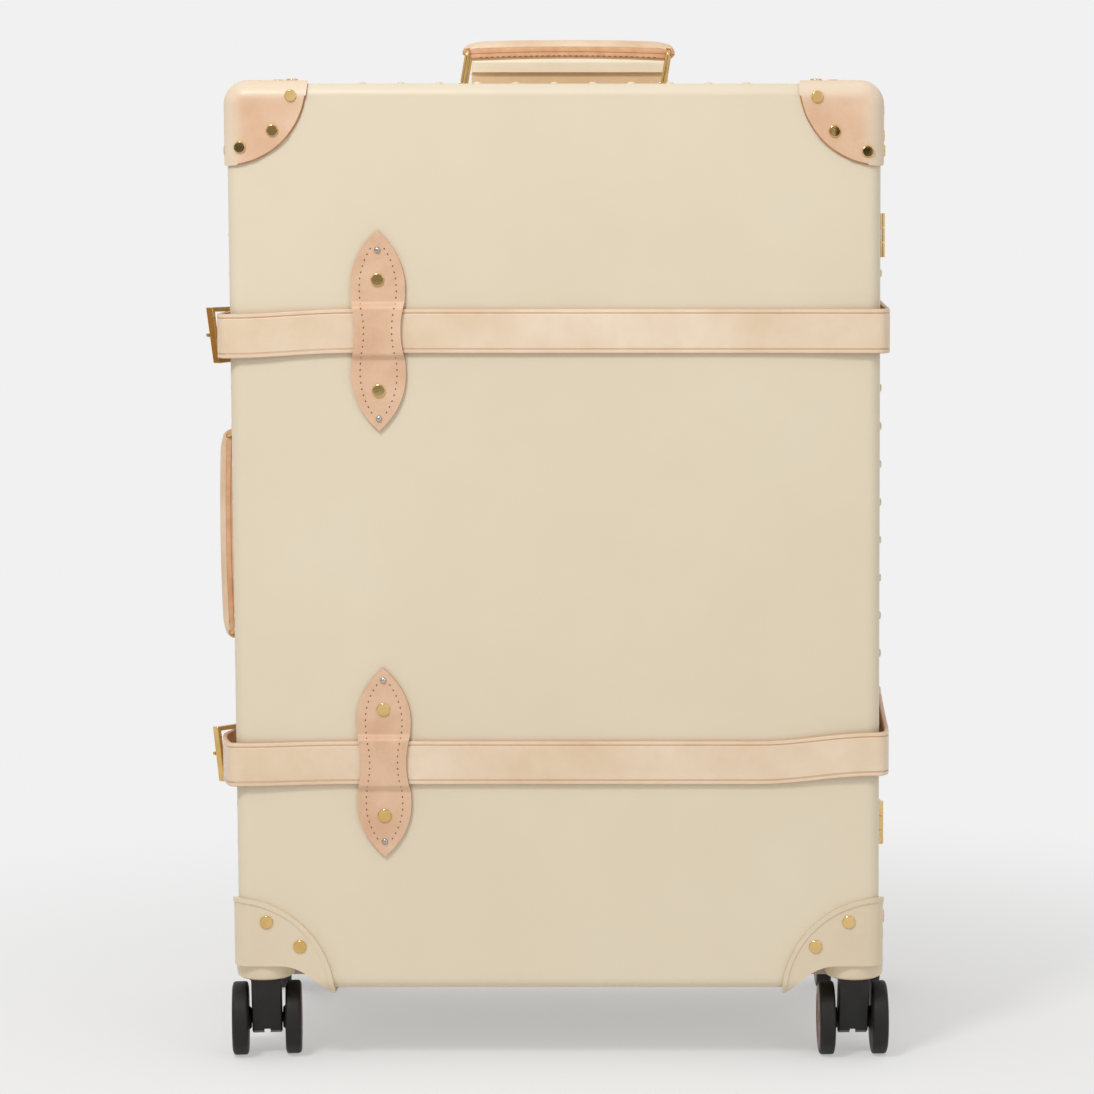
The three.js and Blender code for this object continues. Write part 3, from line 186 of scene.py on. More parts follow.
def smooth_copy(node, materials, choose=None, crease=35, rim=0.0):
    """A merged copy of a solid with its own finish. choose picks a face's material from its middle and
    its normal."""
    mesh = bmesh.new()
    mesh.from_mesh(frame["nodes"][node].data)
    bmesh.ops.remove_doubles(mesh, verts=mesh.verts, dist=1e-6)
    bmesh.ops.dissolve_limit(mesh, angle_limit=math.radians(0.5), verts=mesh.verts, edges=mesh.edges)
    mesh.normal_update()
    if choose:
        for face in mesh.faces:
            face.material_index = choose(face.calc_center_median(), face.normal)
    return finished(node + "_skin", mesh, materials, body_of_node[node], [node], crease, rim)


fibreboard = clouded("fibreboard", "dfd1b6", "e3d6bd", 0.22, 0.0011, 0.00004, (0.40, 0.48))
lining = clouded("striped cotton", "c9b79a", "d6c7ac", 0.02, 0.0007, 0.00012, (0.85, 0.95))
lining_place = add_node(lining, "ShaderNodeTexCoord")
stripes = add_node(lining, "ShaderNodeTexWave", wave_type="BANDS", bands_direction="X", Scale=24,
                   Distortion=0.3)
stripe_edge = add_node(lining, "ShaderNodeMapRange", From_Min=0.72, From_Max=0.8, To_Max=0.75)
join(lining, (lining_place, "Object", stripes, "Vector"), (stripes, "Fac", stripe_edge, "Value"),
     (stripe_edge, "Result", overlaid(lining, "MULTIPLY", colour="b59b76"), 0))


def inside_is_lined(middle, normal):
    """1 for a face that looks into the case, and 0 for the outside."""
    to_centre = Vector((MIDDLE_X - middle.x, MIDDLE_Y - middle.y, (BOTTOM_Z + TOP_Z) / 2 - middle.z))
    walls = (abs(normal.x) > 0.8 and normal.x * to_centre.x > 0,
             abs(normal.z) > 0.8 and normal.z * to_centre.z > 0,
             abs(normal.y) > 0.8 and normal.y * to_centre.y > 0 and abs(to_centre.y) > HALF_DEPTH - 0.003)
    near_board = min(HALF_WIDTH - abs(to_centre.x), (TOP_Z - BOTTOM_Z) / 2 - abs(to_centre.z)) > 0.0012
    return int(any(walls) and near_board)


for tray in ("lid_tray", "lid_band", "base_tray", "base_band"):
    smooth_copy(tray, [fibreboard, lining], inside_is_lined, crease=50)

# Board rivets: small cream-painted domes, 6.4 mm across, every 30 mm round both flanges, 20 mm behind the
# faces. They clinch each tray to its band.


def turned(profile, steps):
    """A form turned round the Z axis from (radius, height) points."""
    mesh = bmesh.new()
    verts = [mesh.verts.new((x, 0, z)) for x, z in profile]
    edges = [mesh.edges.new(pair) for pair in zip(verts, verts[1:])]
    bmesh.ops.spin(mesh, geom=verts + edges, cent=(0, 0, 0), axis=(0, 0, 1), angle=math.tau, steps=steps,
                   use_merge=True)
    bmesh.ops.remove_doubles(mesh, verts=mesh.verts, dist=1e-6)
    bmesh.ops.recalc_face_normals(mesh, faces=mesh.faces)
    return mesh


def placed(mesh, matrix):
    bmesh.ops.transform(mesh, matrix=matrix, verts=mesh.verts)
    return mesh


def add_to(mesh, extra):
    """Adds the extra mesh to the mesh; extra is used up."""
    data = bpy.data.meshes.new("extra")
    extra.to_mesh(data)
    extra.free()
    mesh.from_mesh(data)
    bpy.data.meshes.remove(data)


def dome(mesh, at, outward, radius, height, steps=10, brim=0.5):
    """Adds a rivet head on a surface: flat out to the brim's share of its radius, then rounded down."""
    fall = [(brim + (1 - brim) * math.sin(a), 0.25 + 0.75 * math.cos(a))
            for a in (0.0, 0.35, 0.75, 1.15, 1.5)]
    cap = turned([(0, height)] + [(radius * out, height * up) for out, up in fall]
                 + [(radius, -height * 0.2), (0, -height * 0.2)], steps)
    turn = Vector((0, 0, 1)).rotation_difference(Vector(outward)).to_matrix().to_4x4()
    add_to(mesh, placed(cap, Matrix.Translation(at) @ turn))


BOARD_RIVET_PITCH, BOARD_RIVET_RADIUS, BOARD_RIVET_HEIGHT = 0.0302, 0.0032, 0.0017
BELT_GAPS, BELT_ROOM = (0.586, 0.247), 0.024
painted_rivet = clouded("painted rivet", "d8c7a6", "ece0c8", 0.01, 0.0008, 0.00004, (0.3, 0.42))
for body, face_y, towards in (("lid", lid_low.y, 1), ("base", base_high.y, -1)):
    rivets = bmesh.new()
    y = face_y + towards * 0.020
    across = int((HALF_WIDTH - 0.075) / BOARD_RIVET_PITCH)
    upwards = int(((TOP_Z - BOTTOM_Z) / 2 - 0.1) / BOARD_RIVET_PITCH)
    spots = [((MIDDLE_X + i * BOARD_RIVET_PITCH, y, z), (0, 0, out)) for i in range(-across, across + 1)
             for z, out in ((TOP_Z, 1), (BOTTOM_Z, -1))]
    for i in range(-upwards, upwards + 1):
        z = (TOP_Z + BOTTOM_Z) / 2 + i * BOARD_RIVET_PITCH
        if min(abs(z - gap) for gap in BELT_GAPS) > BELT_ROOM:
            spots += [((MIDDLE_X + side * HALF_WIDTH, y, z), (side, 0, 0)) for side in (-1, 1)]
    for at, out in spots:
        dome(rivets, at, out, BOARD_RIVET_RADIUS, BOARD_RIVET_HEIGHT, brim=0.15)
    finished(body + "_board_rivets", rivets, [painted_rivet], body, crease=60)

# Frame: a ring of pale ash, 4 mm thick, glued inside the base with its tongue into the lid. Its grain runs
# along each rail.
ash = clouded("ash", "c9a877", "dcc093", 0.05, 0.0009, 0.00008, (0.45, 0.6))
ash_place = add_node(ash, "ShaderNodeTexCoord")
grain_stretch = add_node(ash, "ShaderNodeMapping", Scale=(0.12, 1, 0.12))
grain = add_node(ash, "ShaderNodeTexWave", wave_type="BANDS", bands_direction="Y", Scale=55, Distortion=6,
                 Detail=3)
grain_ramp = add_node(ash, "ShaderNodeMix", data_type="RGBA")
grain_ramp.inputs[6].default_value = shade("b98f5c")
grain_ramp.inputs[7].default_value = (1, 1, 1, 1)
join(ash, (ash_place, "Object", grain_stretch, "Vector"), (grain_stretch, "Vector", grain, "Vector"),
     (grain, "Fac", grain_ramp, 0), (grain_ramp, 2, overlaid(ash, "MULTIPLY", 0.55), 7))
smooth_copy("base_frame", [ash], crease=50)

# Corner guards: natural tan leather, 2.4 mm thick, wet-formed over the four top corners and cut to a quarter
# round on each face. The cut edge is burnished darker, and three gold rivets hold each face.


def round_edges(mesh, edges, offset, steps):
    bmesh.ops.bevel(mesh, geom=edges, offset=offset, segments=steps, profile=0.5, affect="EDGES", material=-1)


def rounded_box(grow, corner=0.015, edge=0.010, steps=8):
    """The case's outer form, grown outwards: corners rounded in the front view, then the face edges."""
    mesh = bmesh.new()
    bmesh.ops.create_cube(mesh, size=2)
    half = Vector((HALF_WIDTH + grow, HALF_DEPTH + grow, (TOP_Z - BOTTOM_Z) / 2 + grow))
    bmesh.ops.scale(mesh, vec=half, verts=mesh.verts)
    round_edges(mesh, [e for e in mesh.edges if abs(e.verts[0].co.y - e.verts[1].co.y) > half.y],
                corner + grow, steps)
    round_edges(mesh, [e for e in mesh.edges if abs(e.verts[0].co.y + e.verts[1].co.y) > 1.9 * half.y],
                edge + grow, steps)
    bmesh.ops.translate(mesh, vec=(MIDDLE_X, MIDDLE_Y, (BOTTOM_Z + TOP_Z) / 2), verts=mesh.verts)
    return mesh


def ball(centre, radius, steps=96):
    mesh = bmesh.new()
    bmesh.ops.create_uvsphere(mesh, u_segments=steps, v_segments=steps // 2, radius=radius)
    bmesh.ops.translate(mesh, vec=centre, verts=mesh.verts)
    return mesh


def combined(first, second, operation):
    """The first mesh joined with, cut by, or kept inside the second; both are used up."""
    pair = []
    for mesh in (first, second):
        data = bpy.data.meshes.new("blank")
        mesh.to_mesh(data)
        mesh.free()
        pair.append(bpy.data.objects.new("blank", data))
        bpy.context.scene.collection.objects.link(pair[-1])
    cut = pair[0].modifiers.new("cut", "BOOLEAN")
    cut.operation, cut.object, cut.solver = operation, pair[1], "EXACT"
    result = bmesh.new()
    result.from_object(pair[0], bpy.context.evaluated_depsgraph_get())
    for blank in pair:
        data = blank.data
        bpy.data.objects.remove(blank)
        bpy.data.meshes.remove(data)
    bmesh.ops.remove_doubles(result, verts=result.verts, dist=2e-6)
    return result


def mirrored(mesh, side, face):
    """A copy of a front left piece for another corner: side is 1 for the right, face is 1 for the rear."""
    twin = mesh.copy()
    bmesh.ops.translate(twin, vec=(-MIDDLE_X, -MIDDLE_Y, 0), verts=twin.verts)
    bmesh.ops.scale(twin, vec=(-side, -face, 1), verts=twin.verts)
    bmesh.ops.translate(twin, vec=(MIDDLE_X, MIDDLE_Y, 0), verts=twin.verts)
    if side * face < 0:
        bmesh.ops.reverse_faces(twin, faces=twin.faces)
    return twin


GUARD_REACH, GUARD_GAP, GUARD_LEATHER = 0.0642, 0.0003, 0.0024
top_corner = Vector((MIDDLE_X - HALF_WIDTH, MIDDLE_Y - HALF_DEPTH, TOP_Z))
skin = GUARD_GAP + GUARD_LEATHER
guard = combined(rounded_box(skin, 0.0165, 0.0125, 12), ball(top_corner, GUARD_REACH, 128), "INTERSECT")
guard = combined(guard, rounded_box(GUARD_GAP), "DIFFERENCE")
for vert in guard.verts:
    off_face = top_corner - vert.co
    outside = max(off_face.y, off_face.x, -off_face.z) > skin - 0.0002
    if off_face.length > GUARD_REACH - 0.0002 and outside:
        vert.co += off_face.normalized() * 0.0011
CORNERS = (("front", "left", -1, -1), ("front", "right", 1, -1), ("rear", "left", -1, 1),
           ("rear", "right", 1, 1))


def leather(name, dark, light, patch, rough=(0.4, 0.54), depth=0.00009, grain=0.0012, coat=0.1):
    """Vegetable-tanned leather: cloudy tan, fine pores, and a fine network of grain lines in its relief."""
    material = clouded(name, dark, light, patch, grain, depth, rough, coat=coat)
    place = material.node_tree.nodes.new("ShaderNodeTexCoord")
    cells = add_node(material, "ShaderNodeTexVoronoi", feature="DISTANCE_TO_EDGE", Scale=1 / (grain * 1.6))
    edges = add_node(material, "ShaderNodeMapRange", From_Max=0.18)
    height = add_node(material, "ShaderNodeMath", operation="MULTIPLY_ADD")
    height.inputs[1].default_value = 0.6
    join(material, (place, "Object", cells, "Vector"), (cells, "Distance", edges, "Value"),
         (edges, "Result", height, 0), (material.node_tree.nodes["pores"], "Fac", height, 2),
         (height, "Value", material.node_tree.nodes["relief"], "Height"))
    return material


def flat_rivet(mesh, at, outward, radius):
    """Adds a cap rivet's wide flat head, 1.3 mm high."""
    dome(mesh, at, outward, radius, 0.0013, 28, 0.84)


def set_rivet(mesh, surface, at, looks):
    """A flat rivet head where rays from outside meet the surface, turned to lie on it."""
    aside = looks.orthogonal().normalized() * 0.003
    ahead = looks.cross(looks.orthogonal()).normalized() * 0.003
    points = [surface.ray_cast(at + looks * 0.05 + shift, -looks)[0]
              for shift in (aside, -aside, ahead, -ahead)]
    normal = (points[1] - points[0]).cross(points[3] - points[2]).normalized()
    if normal.dot(looks) < 0:
        normal = -normal
    flat_rivet(mesh, sum(points, Vector()) / 4, normal, GUARD_RIVET_RADIUS)


GUARD_RIVET_RADIUS = 0.0048
GUARD_RIVETS = {"left": ((0.0515, 0.0098), (0.0370, 0.0368), (0.0114, 0.0499)),
                "right": ((0.0497, 0.0107), (0.0361, 0.0374), (0.0102, 0.0530))}
guard_leather = leather("guard leather", "dbb08c", "e6c4a5", 0.045, coat=0.22)
guard_place = add_node(guard_leather, "ShaderNodeTexCoord")
guard_axes = add_node(guard_leather, "ShaderNodeSeparateXYZ")
join(guard_leather, (guard_place, "Object", guard_axes, "Vector"))
edge_gaps = []
for axis, middle, half in (("X", MIDDLE_X, HALF_WIDTH + skin), ("Y", MIDDLE_Y, HALF_DEPTH + skin),
                           ("Z", 0, TOP_Z + skin)):
    off = add_node(guard_leather, "ShaderNodeMath", operation="SUBTRACT")
    off.inputs[1].default_value = middle
    size = add_node(guard_leather, "ShaderNodeMath", operation="ABSOLUTE")
    gap = add_node(guard_leather, "ShaderNodeMath", operation="SUBTRACT")
    gap.inputs[0].default_value = half
    join(guard_leather, (guard_axes, axis, off, 0), (off, 0, size, 0), (size, 0, gap, 1))
    edge_gaps.append(gap)
# Painted highlight, not wear: the leather is painted pale cream towards its rounded edges, for the sheen they
# catch.
nearer, further, among, second = [add_node(guard_leather, "ShaderNodeMath", operation=kind)
                                  for kind in ("MINIMUM", "MAXIMUM", "MINIMUM", "MAXIMUM")]
painted_edge_sheen = add_node(guard_leather, "ShaderNodeMapRange", interpolation_type="SMOOTHSTEP", From_Min=0.004,
                From_Max=0.020, To_Min=0.72, To_Max=0.0)
join(guard_leather, (edge_gaps[0], 0, nearer, 0), (edge_gaps[1], 0, nearer, 1),
     (edge_gaps[0], 0, further, 0), (edge_gaps[1], 0, further, 1), (further, 0, among, 0),
     (edge_gaps[2], 0, among, 1), (nearer, 0, second, 0), (among, 0, second, 1), (second, 0, painted_edge_sheen, "Value"),
     (painted_edge_sheen, "Result", overlaid(guard_leather, "MIX", colour="e8dac2"), 0))
cut_edge = leather("burnished edge", "a9714a", "bf8860", 0.01, rough=(0.3, 0.42), depth=0.00005)
gold = clouded("gold", "d3ab64", "e6c58a", 0.03, 0.0009, 0.000003, (0.09, 0.17), metal=1.0)


def gilded(name, mesh, node, stands_for=(), crease=50, rim=0.0, rim_steps=2):
    """A gold-plated piece on a node's body."""
    return finished(name, mesh, [gold], body_of_node[node], stands_for, crease, rim, rim_steps)


for face, side, side_sign, face_sign in CORNERS:
    corner = Vector((MIDDLE_X + side_sign * HALF_WIDTH, MIDDLE_Y + face_sign * HALF_DEPTH, TOP_Z))
    twin = mirrored(guard, side_sign, face_sign)
    twin.normal_update()
    for edge_face in twin.faces:
        off_corner = edge_face.calc_center_median() - corner
        if off_corner.length > GUARD_REACH - 0.0016 and edge_face.normal.dot(off_corner.normalized()) > 0.12:
            edge_face.material_index = 1
    node = f"corner_guard_{face}_{side}"
    leather_skin = BVHTree.FromBMesh(twin)
    finished(f"guard_leather_{face}_{side}", twin, [guard_leather, cut_edge], body_of_node[node],
             [node], crease=50)
    rivets = bmesh.new()
    outward, up, away = Vector((side_sign, 0, 0)), Vector((0, 0, 1)), Vector((0, face_sign, 0))
    for looks, first, second, places in (
            (away, -outward, -up, GUARD_RIVETS["left" if side_sign * face_sign > 0 else "right"]),
            (outward, -away, -up, ((0.0505, 0.0200), (0.0360, 0.0400), (0.0195, 0.0520))),
            (up, -outward, -away, ((0.0505, 0.0170), (0.0370, 0.0370), (0.0200, 0.0500)))):
        for one, other in places:
            set_rivet(rivets, leather_skin, corner + first * one + second * other, looks)
    gilded(f"guard_rivets_{face}_{side}", rivets, node)
guard.free()

# Wheel housings: cream moulded plastic, 3.2 mm thick, over the four bottom corners, with a raised bead
# along the edge, a recess for the wheels and a round boss that the caster turns in. Two gold rivets hold
# each face.
HOUSING_WALL, HOUSING_RADIUS, BEAD = 0.0035, 0.0811, 0.0034
RECESS_TOP, RECESS_FLAT, RECESS_END = BOTTOM_Z + 0.0198, 0.034, 0.074


def pushed(mesh, corners, by):
    """Adds a flat outline of points to the mesh and pushes it out to a prism."""
    outline = mesh.faces.new([mesh.verts.new(corner) for corner in corners])
    grown = bmesh.ops.extrude_face_region(mesh, geom=[outline])["geom"]
    bmesh.ops.translate(mesh, vec=by, verts=[part for part in grown if isinstance(part, bmesh.types.BMVert)])
    bmesh.ops.recalc_face_normals(mesh, faces=mesh.faces)
    return mesh


def recess(grow):
    """The room for the wheels at the front left corner: one curved outline pushed along Y and along X."""
    lip, below = BOTTOM_Z - 0.0032, BOTTOM_Z - 0.06
    top, end, flat = RECESS_TOP + grow, RECESS_END + grow, RECESS_FLAT + grow
    curve = interpolate_bezier((end, lip, 0), (end - 0.008, lip + 0.0067, 0), (flat + 0.020, top, 0),
                               (flat, top, 0), 16)
    outline = [(-0.06, below), (end, below), *[(p.x, p.y) for p in curve], (-0.06, top)]
    left, front = MIDDLE_X - HALF_WIDTH, MIDDLE_Y - HALF_DEPTH
    across = pushed(bmesh.new(), [(left + inward, MIDDLE_Y - 0.4, z) for inward, z in outline], (0, 0.8, 0))
    along = pushed(bmesh.new(), [(MIDDLE_X - 0.5, front + inward, z) for inward, z in outline], (1.0, 0, 0))
    return combined(across, along, "INTERSECT")


swivel = Vector((MIDDLE_X - HALF_WIDTH + 0.0195, MIDDLE_Y - HALF_DEPTH + 0.022, 0))
BOSS_LOW = BOTTOM_Z + 0.0076
housing_ball = (MIDDLE_X - HALF_WIDTH - 0.0034, MIDDLE_Y - HALF_DEPTH - 0.0034, BOTTOM_Z - 0.0062)
housing = combined(rounded_box(HOUSING_WALL), ball(housing_ball, HOUSING_RADIUS, 144), "INTERSECT")
bead = combined(rounded_box(HOUSING_WALL + 0.0008), ball(housing_ball, HOUSING_RADIUS, 144), "INTERSECT")
bead = combined(bead, ball(housing_ball, HOUSING_RADIUS - BEAD, 144), "DIFFERENCE")
recess_wall = combined(rounded_box(HOUSING_WALL), recess(0.0032), "INTERSECT")
for extra, operation in ((rounded_box(GUARD_GAP), "DIFFERENCE"),
                         (combined(bead, rounded_box(GUARD_GAP), "DIFFERENCE"), "UNION"),
                         (recess_wall, "UNION"), (recess(0), "DIFFERENCE")):
    housing = combined(housing, extra, operation)
boss = turned([(0, RECESS_TOP + 0.0003), (0.0236, RECESS_TOP + 0.0003), (0.0231, BOSS_LOW + 0.0035),
               (0.0222, BOSS_LOW + 0.0012), (0.0203, BOSS_LOW), (0, BOSS_LOW)], 64)
housing = combined(housing, placed(boss, Matrix.Translation(swivel)), "UNION")
bore = turned([(0, BOSS_LOW + 0.0083), (0.00535, BOSS_LOW + 0.0083), (0.00535, BOSS_LOW - 0.01),
               (0, BOSS_LOW - 0.01)], 32)
housing = combined(housing, placed(bore, Matrix.Translation(swivel)), "DIFFERENCE")
housing_plastic = clouded("moulded cream plastic", "dac8aa", "e2d2b7", 0.12, 0.0009, 0.00004, (0.34, 0.42),
                          coat=0.08)
for face, side, side_sign, face_sign in CORNERS:
    node = f"wheel_housing_{face}_{side}"
    finished(f"housing_{face}_{side}", mirrored(housing, side_sign, face_sign), [housing_plastic],
             body_of_node[node], [node], crease=32)
    rivets = bmesh.new()
    corner = Vector((MIDDLE_X + side_sign * HALF_WIDTH, MIDDLE_Y + face_sign * HALF_DEPTH, BOTTOM_Z))
    for inward, up in ((0.0240, 0.0556), (0.0504, 0.0358)):
        flat_rivet(rivets, corner + Vector((-side_sign * inward, face_sign * HOUSING_WALL, up)),
                   (0, face_sign, 0), 0.0053)
        flat_rivet(rivets, corner + Vector((side_sign * HOUSING_WALL, -face_sign * inward, up)),
                   (side_sign, 0, 0), 0.0053)
    gilded(f"housing_rivets_{face}_{side}", rivets, node)
housing.free()

# Casters: a black moulded fork on a kingpin, and twin wheels with dark rubber treads on one steel axle.
# Each wheel's outer side has a bronze-coloured pressed cover.
black_plastic = clouded("black moulded plastic", "201e1e", "2a2827", 0.02, 0.0007, 0.00005, (0.34, 0.46))
tread_rubber = clouded("tread rubber", "1b1918", "252221", 0.015, 0.0009, 0.00007, (0.5, 0.66))
for dark in (black_plastic, tread_rubber):
    shader_of(dark).inputs["Specular IOR Level"].default_value = 0.3
bronze = clouded("bronze cover", "6f4c32", "7a5438", 0.004, 0.0006, 0.00001, (0.3, 0.42), metal=0.7)
WHEEL_RADIUS, WHEEL_INNER, WHEEL_OUTER = 0.0296, 0.0148, 0.0276
CASTER_TURN = {"left": 7, "right": 3}
TREAD = [(0, WHEEL_OUTER - 0.0016), (0.0190, WHEEL_OUTER - 0.0016), (0.0200, WHEEL_OUTER - 0.0004),
         (0.0215, WHEEL_OUTER), (0.0270, WHEEL_OUTER - 0.0001), (0.0284, WHEEL_OUTER - 0.0006),
         (0.0293, WHEEL_OUTER - 0.0015), (WHEEL_RADIUS, WHEEL_OUTER - 0.0030),
         (WHEEL_RADIUS, WHEEL_INNER + 0.0028), (0.0293, WHEEL_INNER + 0.0013), (0.0283, WHEEL_INNER + 0.0005),
         (0.0260, WHEEL_INNER), (0.0100, WHEEL_INNER), (0.0080, WHEEL_INNER - 0.0022), (0.0080, 0.0126),
         (0.0040, 0.0124), (0.0040, 0.0002), (0, 0.0002)]
COVER = [(0, WHEEL_OUTER - 0.0001), (0.0052, WHEEL_OUTER - 0.0001), (0.0060, WHEEL_OUTER - 0.0007),
         (0.0196, WHEEL_OUTER - 0.0003), (0.0210, WHEEL_OUTER + 0.0003), (0.0262, WHEEL_OUTER + 0.0002),
         (0.0270, WHEEL_OUTER - 0.0004), (0.0270, WHEEL_OUTER - 0.0015), (0, WHEEL_OUTER - 0.0015)]
for face, side, side_sign, face_sign in CORNERS:
    fork = f"caster_fork_{face}_{side}"
    smooth_copy(fork, [black_plastic], crease=38, rim=0.0004)
    node = f"caster_wheels_{face}_{side}"
    low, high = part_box(node)
    turn = Matrix.Rotation(math.radians(CASTER_TURN[side]), 4, "Z")
    stand = Matrix.Translation((low + high) / 2) @ turn @ Matrix.Rotation(math.pi / 2, 4, "Y")
    body = body_of_node[node]
    treads, covers = bmesh.new(), bmesh.new()
    for flip in (0, math.pi):
        outer_side = stand @ Matrix.Rotation(flip, 4, "X")
        add_to(treads, placed(turned(TREAD, 64), outer_side))
        add_to(covers, placed(turned(COVER, 56), outer_side))
    finished(f"treads_{face}_{side}", treads, [tread_rubber], body, [node], crease=45)
    finished(f"wheel_covers_{face}_{side}", covers, [bronze], body, crease=40)

# Belts: two bridle-leather straps, 35 mm wide and 3.5 mm thick, pale on the grain side and brown on the
# flesh side, with a crease pressed 3 mm inside each edge. The front run's tail passes under the buckle,
# the rear run is folded round the buckle's bar and carries a loop, and a short straight length, riding on
# no body, crosses the hinges.
BELT_HALF, BELT_THICK, BELT_MID = 0.0175, 0.0035, 0.00205
BELT_LIFT, TURN, EASED = BELT_MID + 0.004, 0.012, HALF_WIDTH - 0.095
WALL = HALF_WIDTH - 0.0023
SEAM_Y = (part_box("lid_band")[1].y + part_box("base_band")[0].y) / 2 - MIDDLE_Y
PIVOT_OUT = 0.0052
BUCKLE_REACH, BUCKLE_HALF, BAR_HALF, FRONT_BAR_HALF = 0.031, 0.022, 0.0018, 0.0029
FOLD_OUTER, FOLD_INNER, FLEX_HALF = 0.0046, 0.0024, 0.0297
BELTS = {"upper": dict(z=0.586, left=-0.004, right=0.0, tab=0.157, pivot=0.046 - HALF_DEPTH, tilt=0.0111),
         "lower": dict(z=0.244, left=-0.0015, right=0.007, tab=0.151, pivot=0.078 - HALF_DEPTH, tilt=0.0171)}


def spline(points, steps):
    """A smooth curve through the points, with that many steps between each two."""
    padded = [2 * points[0] - points[1], *points, 2 * points[-1] - points[-2]]
    found = []
    for p0, p1, p2, p3 in zip(padded, padded[1:], padded[2:], padded[3:]):
        k1 = (p1 - p0).length ** 0.5
        k2 = k1 + (p2 - p1).length ** 0.5
        k3 = k2 + (p3 - p2).length ** 0.5
        for step in range(steps):
            t = k1 + (k2 - k1) * step / steps
            a1 = p0.lerp(p1, t / k1)
            a2 = p1.lerp(p2, (t - k1) / (k2 - k1))
            a3 = p2.lerp(p3, (t - k2) / (k3 - k2))
            b1, b2 = a1.lerp(a2, t / k2), a2.lerp(a3, (t - k1) / (k3 - k1))
            found.append(b1.lerp(b2, (t - k1) / (k2 - k1)))
    return found + [points[-1].copy()]


def off_level(belt, x):
    """How far a belt has moved off its level at x, measured from the case's middle."""
    share = min(max((abs(x) - EASED) / (WALL - EASED), 0), 1)
    return belt["left" if x < 0 else "right"] * share * share * (3 - 2 * share)


def end_run(face, left_start, left_off, right_end):
    """A belt's path round the front (face -1) or the rear (face 1), between what it does on the two sides."""
    def out(distance):
        return face * (HALF_DEPTH + distance)

    def turn(corner):
        return [Vector((math.copysign(abs(corner) - inward * TURN, corner),
                        out(off * BELT_LIFT - behind * TURN), 0))
                for inward, behind, off in ((0.06, 0.35, 0), (0.4, 0, 0.45), (1.2, 0, 0.62))]

    easing = EASED + 0.095 * 0.45
    flat = [Vector((x, out(off), 0)) for x, off in
            ((-easing, BELT_LIFT * 0.42), (-EASED, BELT_MID), (0, BELT_MID), (EASED, BELT_MID),
             (easing, BELT_LIFT * 0.42))]
    return [*left_start, *turn(-HALF_WIDTH - left_off), *flat, *turn(HALF_WIDTH + BELT_LIFT)[::-1],
            Vector((HALF_WIDTH + BELT_LIFT, out(-TURN * 1.2), 0)), right_end]


def stations(path, belt, face, narrow=None):
    """Matrices along a path: X is up, Y is out from the case and Z is along. narrow gives the width's share
    at each distance from the start."""
    found, gone = [], 0.0
    for i, point in enumerate(path):
        ahead, behind = path[min(i + 1, len(path) - 1)], path[max(i - 1, 0)]
        along = (ahead - behind).normalized()
        outward = Vector((along.y, -along.x, 0)) * -face
        gone += (point - path[max(i - 1, 0)]).length
        width = narrow(gone) if narrow else 1
        frame_here = Matrix((Vector((0, 0, width)), outward, along)).transposed().to_4x4()
        middle = Vector((MIDDLE_X + point.x, MIDDLE_Y + point.y, belt["z"] + off_level(belt, point.x)))
        found.append(Matrix.Translation(middle) @ frame_here)
    return found


def swept(profile, places, closed=False):
    """A closed outline carried from place to place. Its ends are filled, or joined where the places close."""
    mesh = bmesh.new()
    ring = [mesh.verts.new(places[0] @ Vector((across, out, 0))) for across, out in profile]
    edges = [mesh.edges.new(pair) for pair in zip(ring, ring[1:] + ring[:1])]
    for before, after in zip(places, places[1:]):
        grown = bmesh.ops.extrude_edge_only(mesh, edges=edges)["geom"]
        moved = {part for part in grown if isinstance(part, bmesh.types.BMVert)}
        edges = [part for part in grown if isinstance(part, bmesh.types.BMEdge) and set(part.verts) <= moved]
        bmesh.ops.transform(mesh, matrix=after @ before.inverted(), verts=list(moved))
    if closed:
        bmesh.ops.remove_doubles(mesh, verts=mesh.verts, dist=1e-5)
    bmesh.ops.holes_fill(mesh, edges=[edge for edge in mesh.edges if edge.is_boundary], sides=0)
    bmesh.ops.recalc_face_normals(mesh, faces=mesh.faces)
    return mesh


def block(low, high, rim=0.0, steps=2):
    """A box between two corners, with its edges rounded by rim."""
    mesh = bmesh.new()
    bmesh.ops.create_cube(mesh, size=1)
    low, high = Vector(low), Vector(high)
    bmesh.ops.scale(mesh, vec=high - low, verts=mesh.verts)
    bmesh.ops.translate(mesh, vec=(low + high) / 2, verts=mesh.verts)
    if rim:
        round_edges(mesh, mesh.edges[:], rim, steps)
    return mesh


HALF_PROFILE = ((0.0138, 0.0013), (0.0133, 0.00168), (0.0127, 0.00175), (0.0, 0.00178))
RIM_PROFILE = ((0.0166, -0.00175), (0.0172, -0.0014), (0.0175, -0.0007), (0.0175, 0.0007), (0.0172, 0.0014),
               (0.0166, 0.00172), (0.0148, 0.00175), (0.0142, 0.00155))
STRAP_PROFILE = [(-a, o) for a, o in RIM_PROFILE] + [(-a, o) for a, o in HALF_PROFILE] \
    + list(HALF_PROFILE[-2::-1]) + list(RIM_PROFILE[::-1])
strap_leather = leather("bridle leather", "dfc3a2", "eddac1", 0.09, rough=(0.36, 0.48), grain=0.0009,
                        depth=0.00005)
strap_across = add_node(strap_leather, "ShaderNodeAttribute", attribute_name="across")
strap_size = add_node(strap_leather, "ShaderNodeMath", operation="ABSOLUTE")
strap_scale = add_node(strap_leather, "ShaderNodeMath", operation="MULTIPLY")
strap_scale.inputs[1].default_value = 50


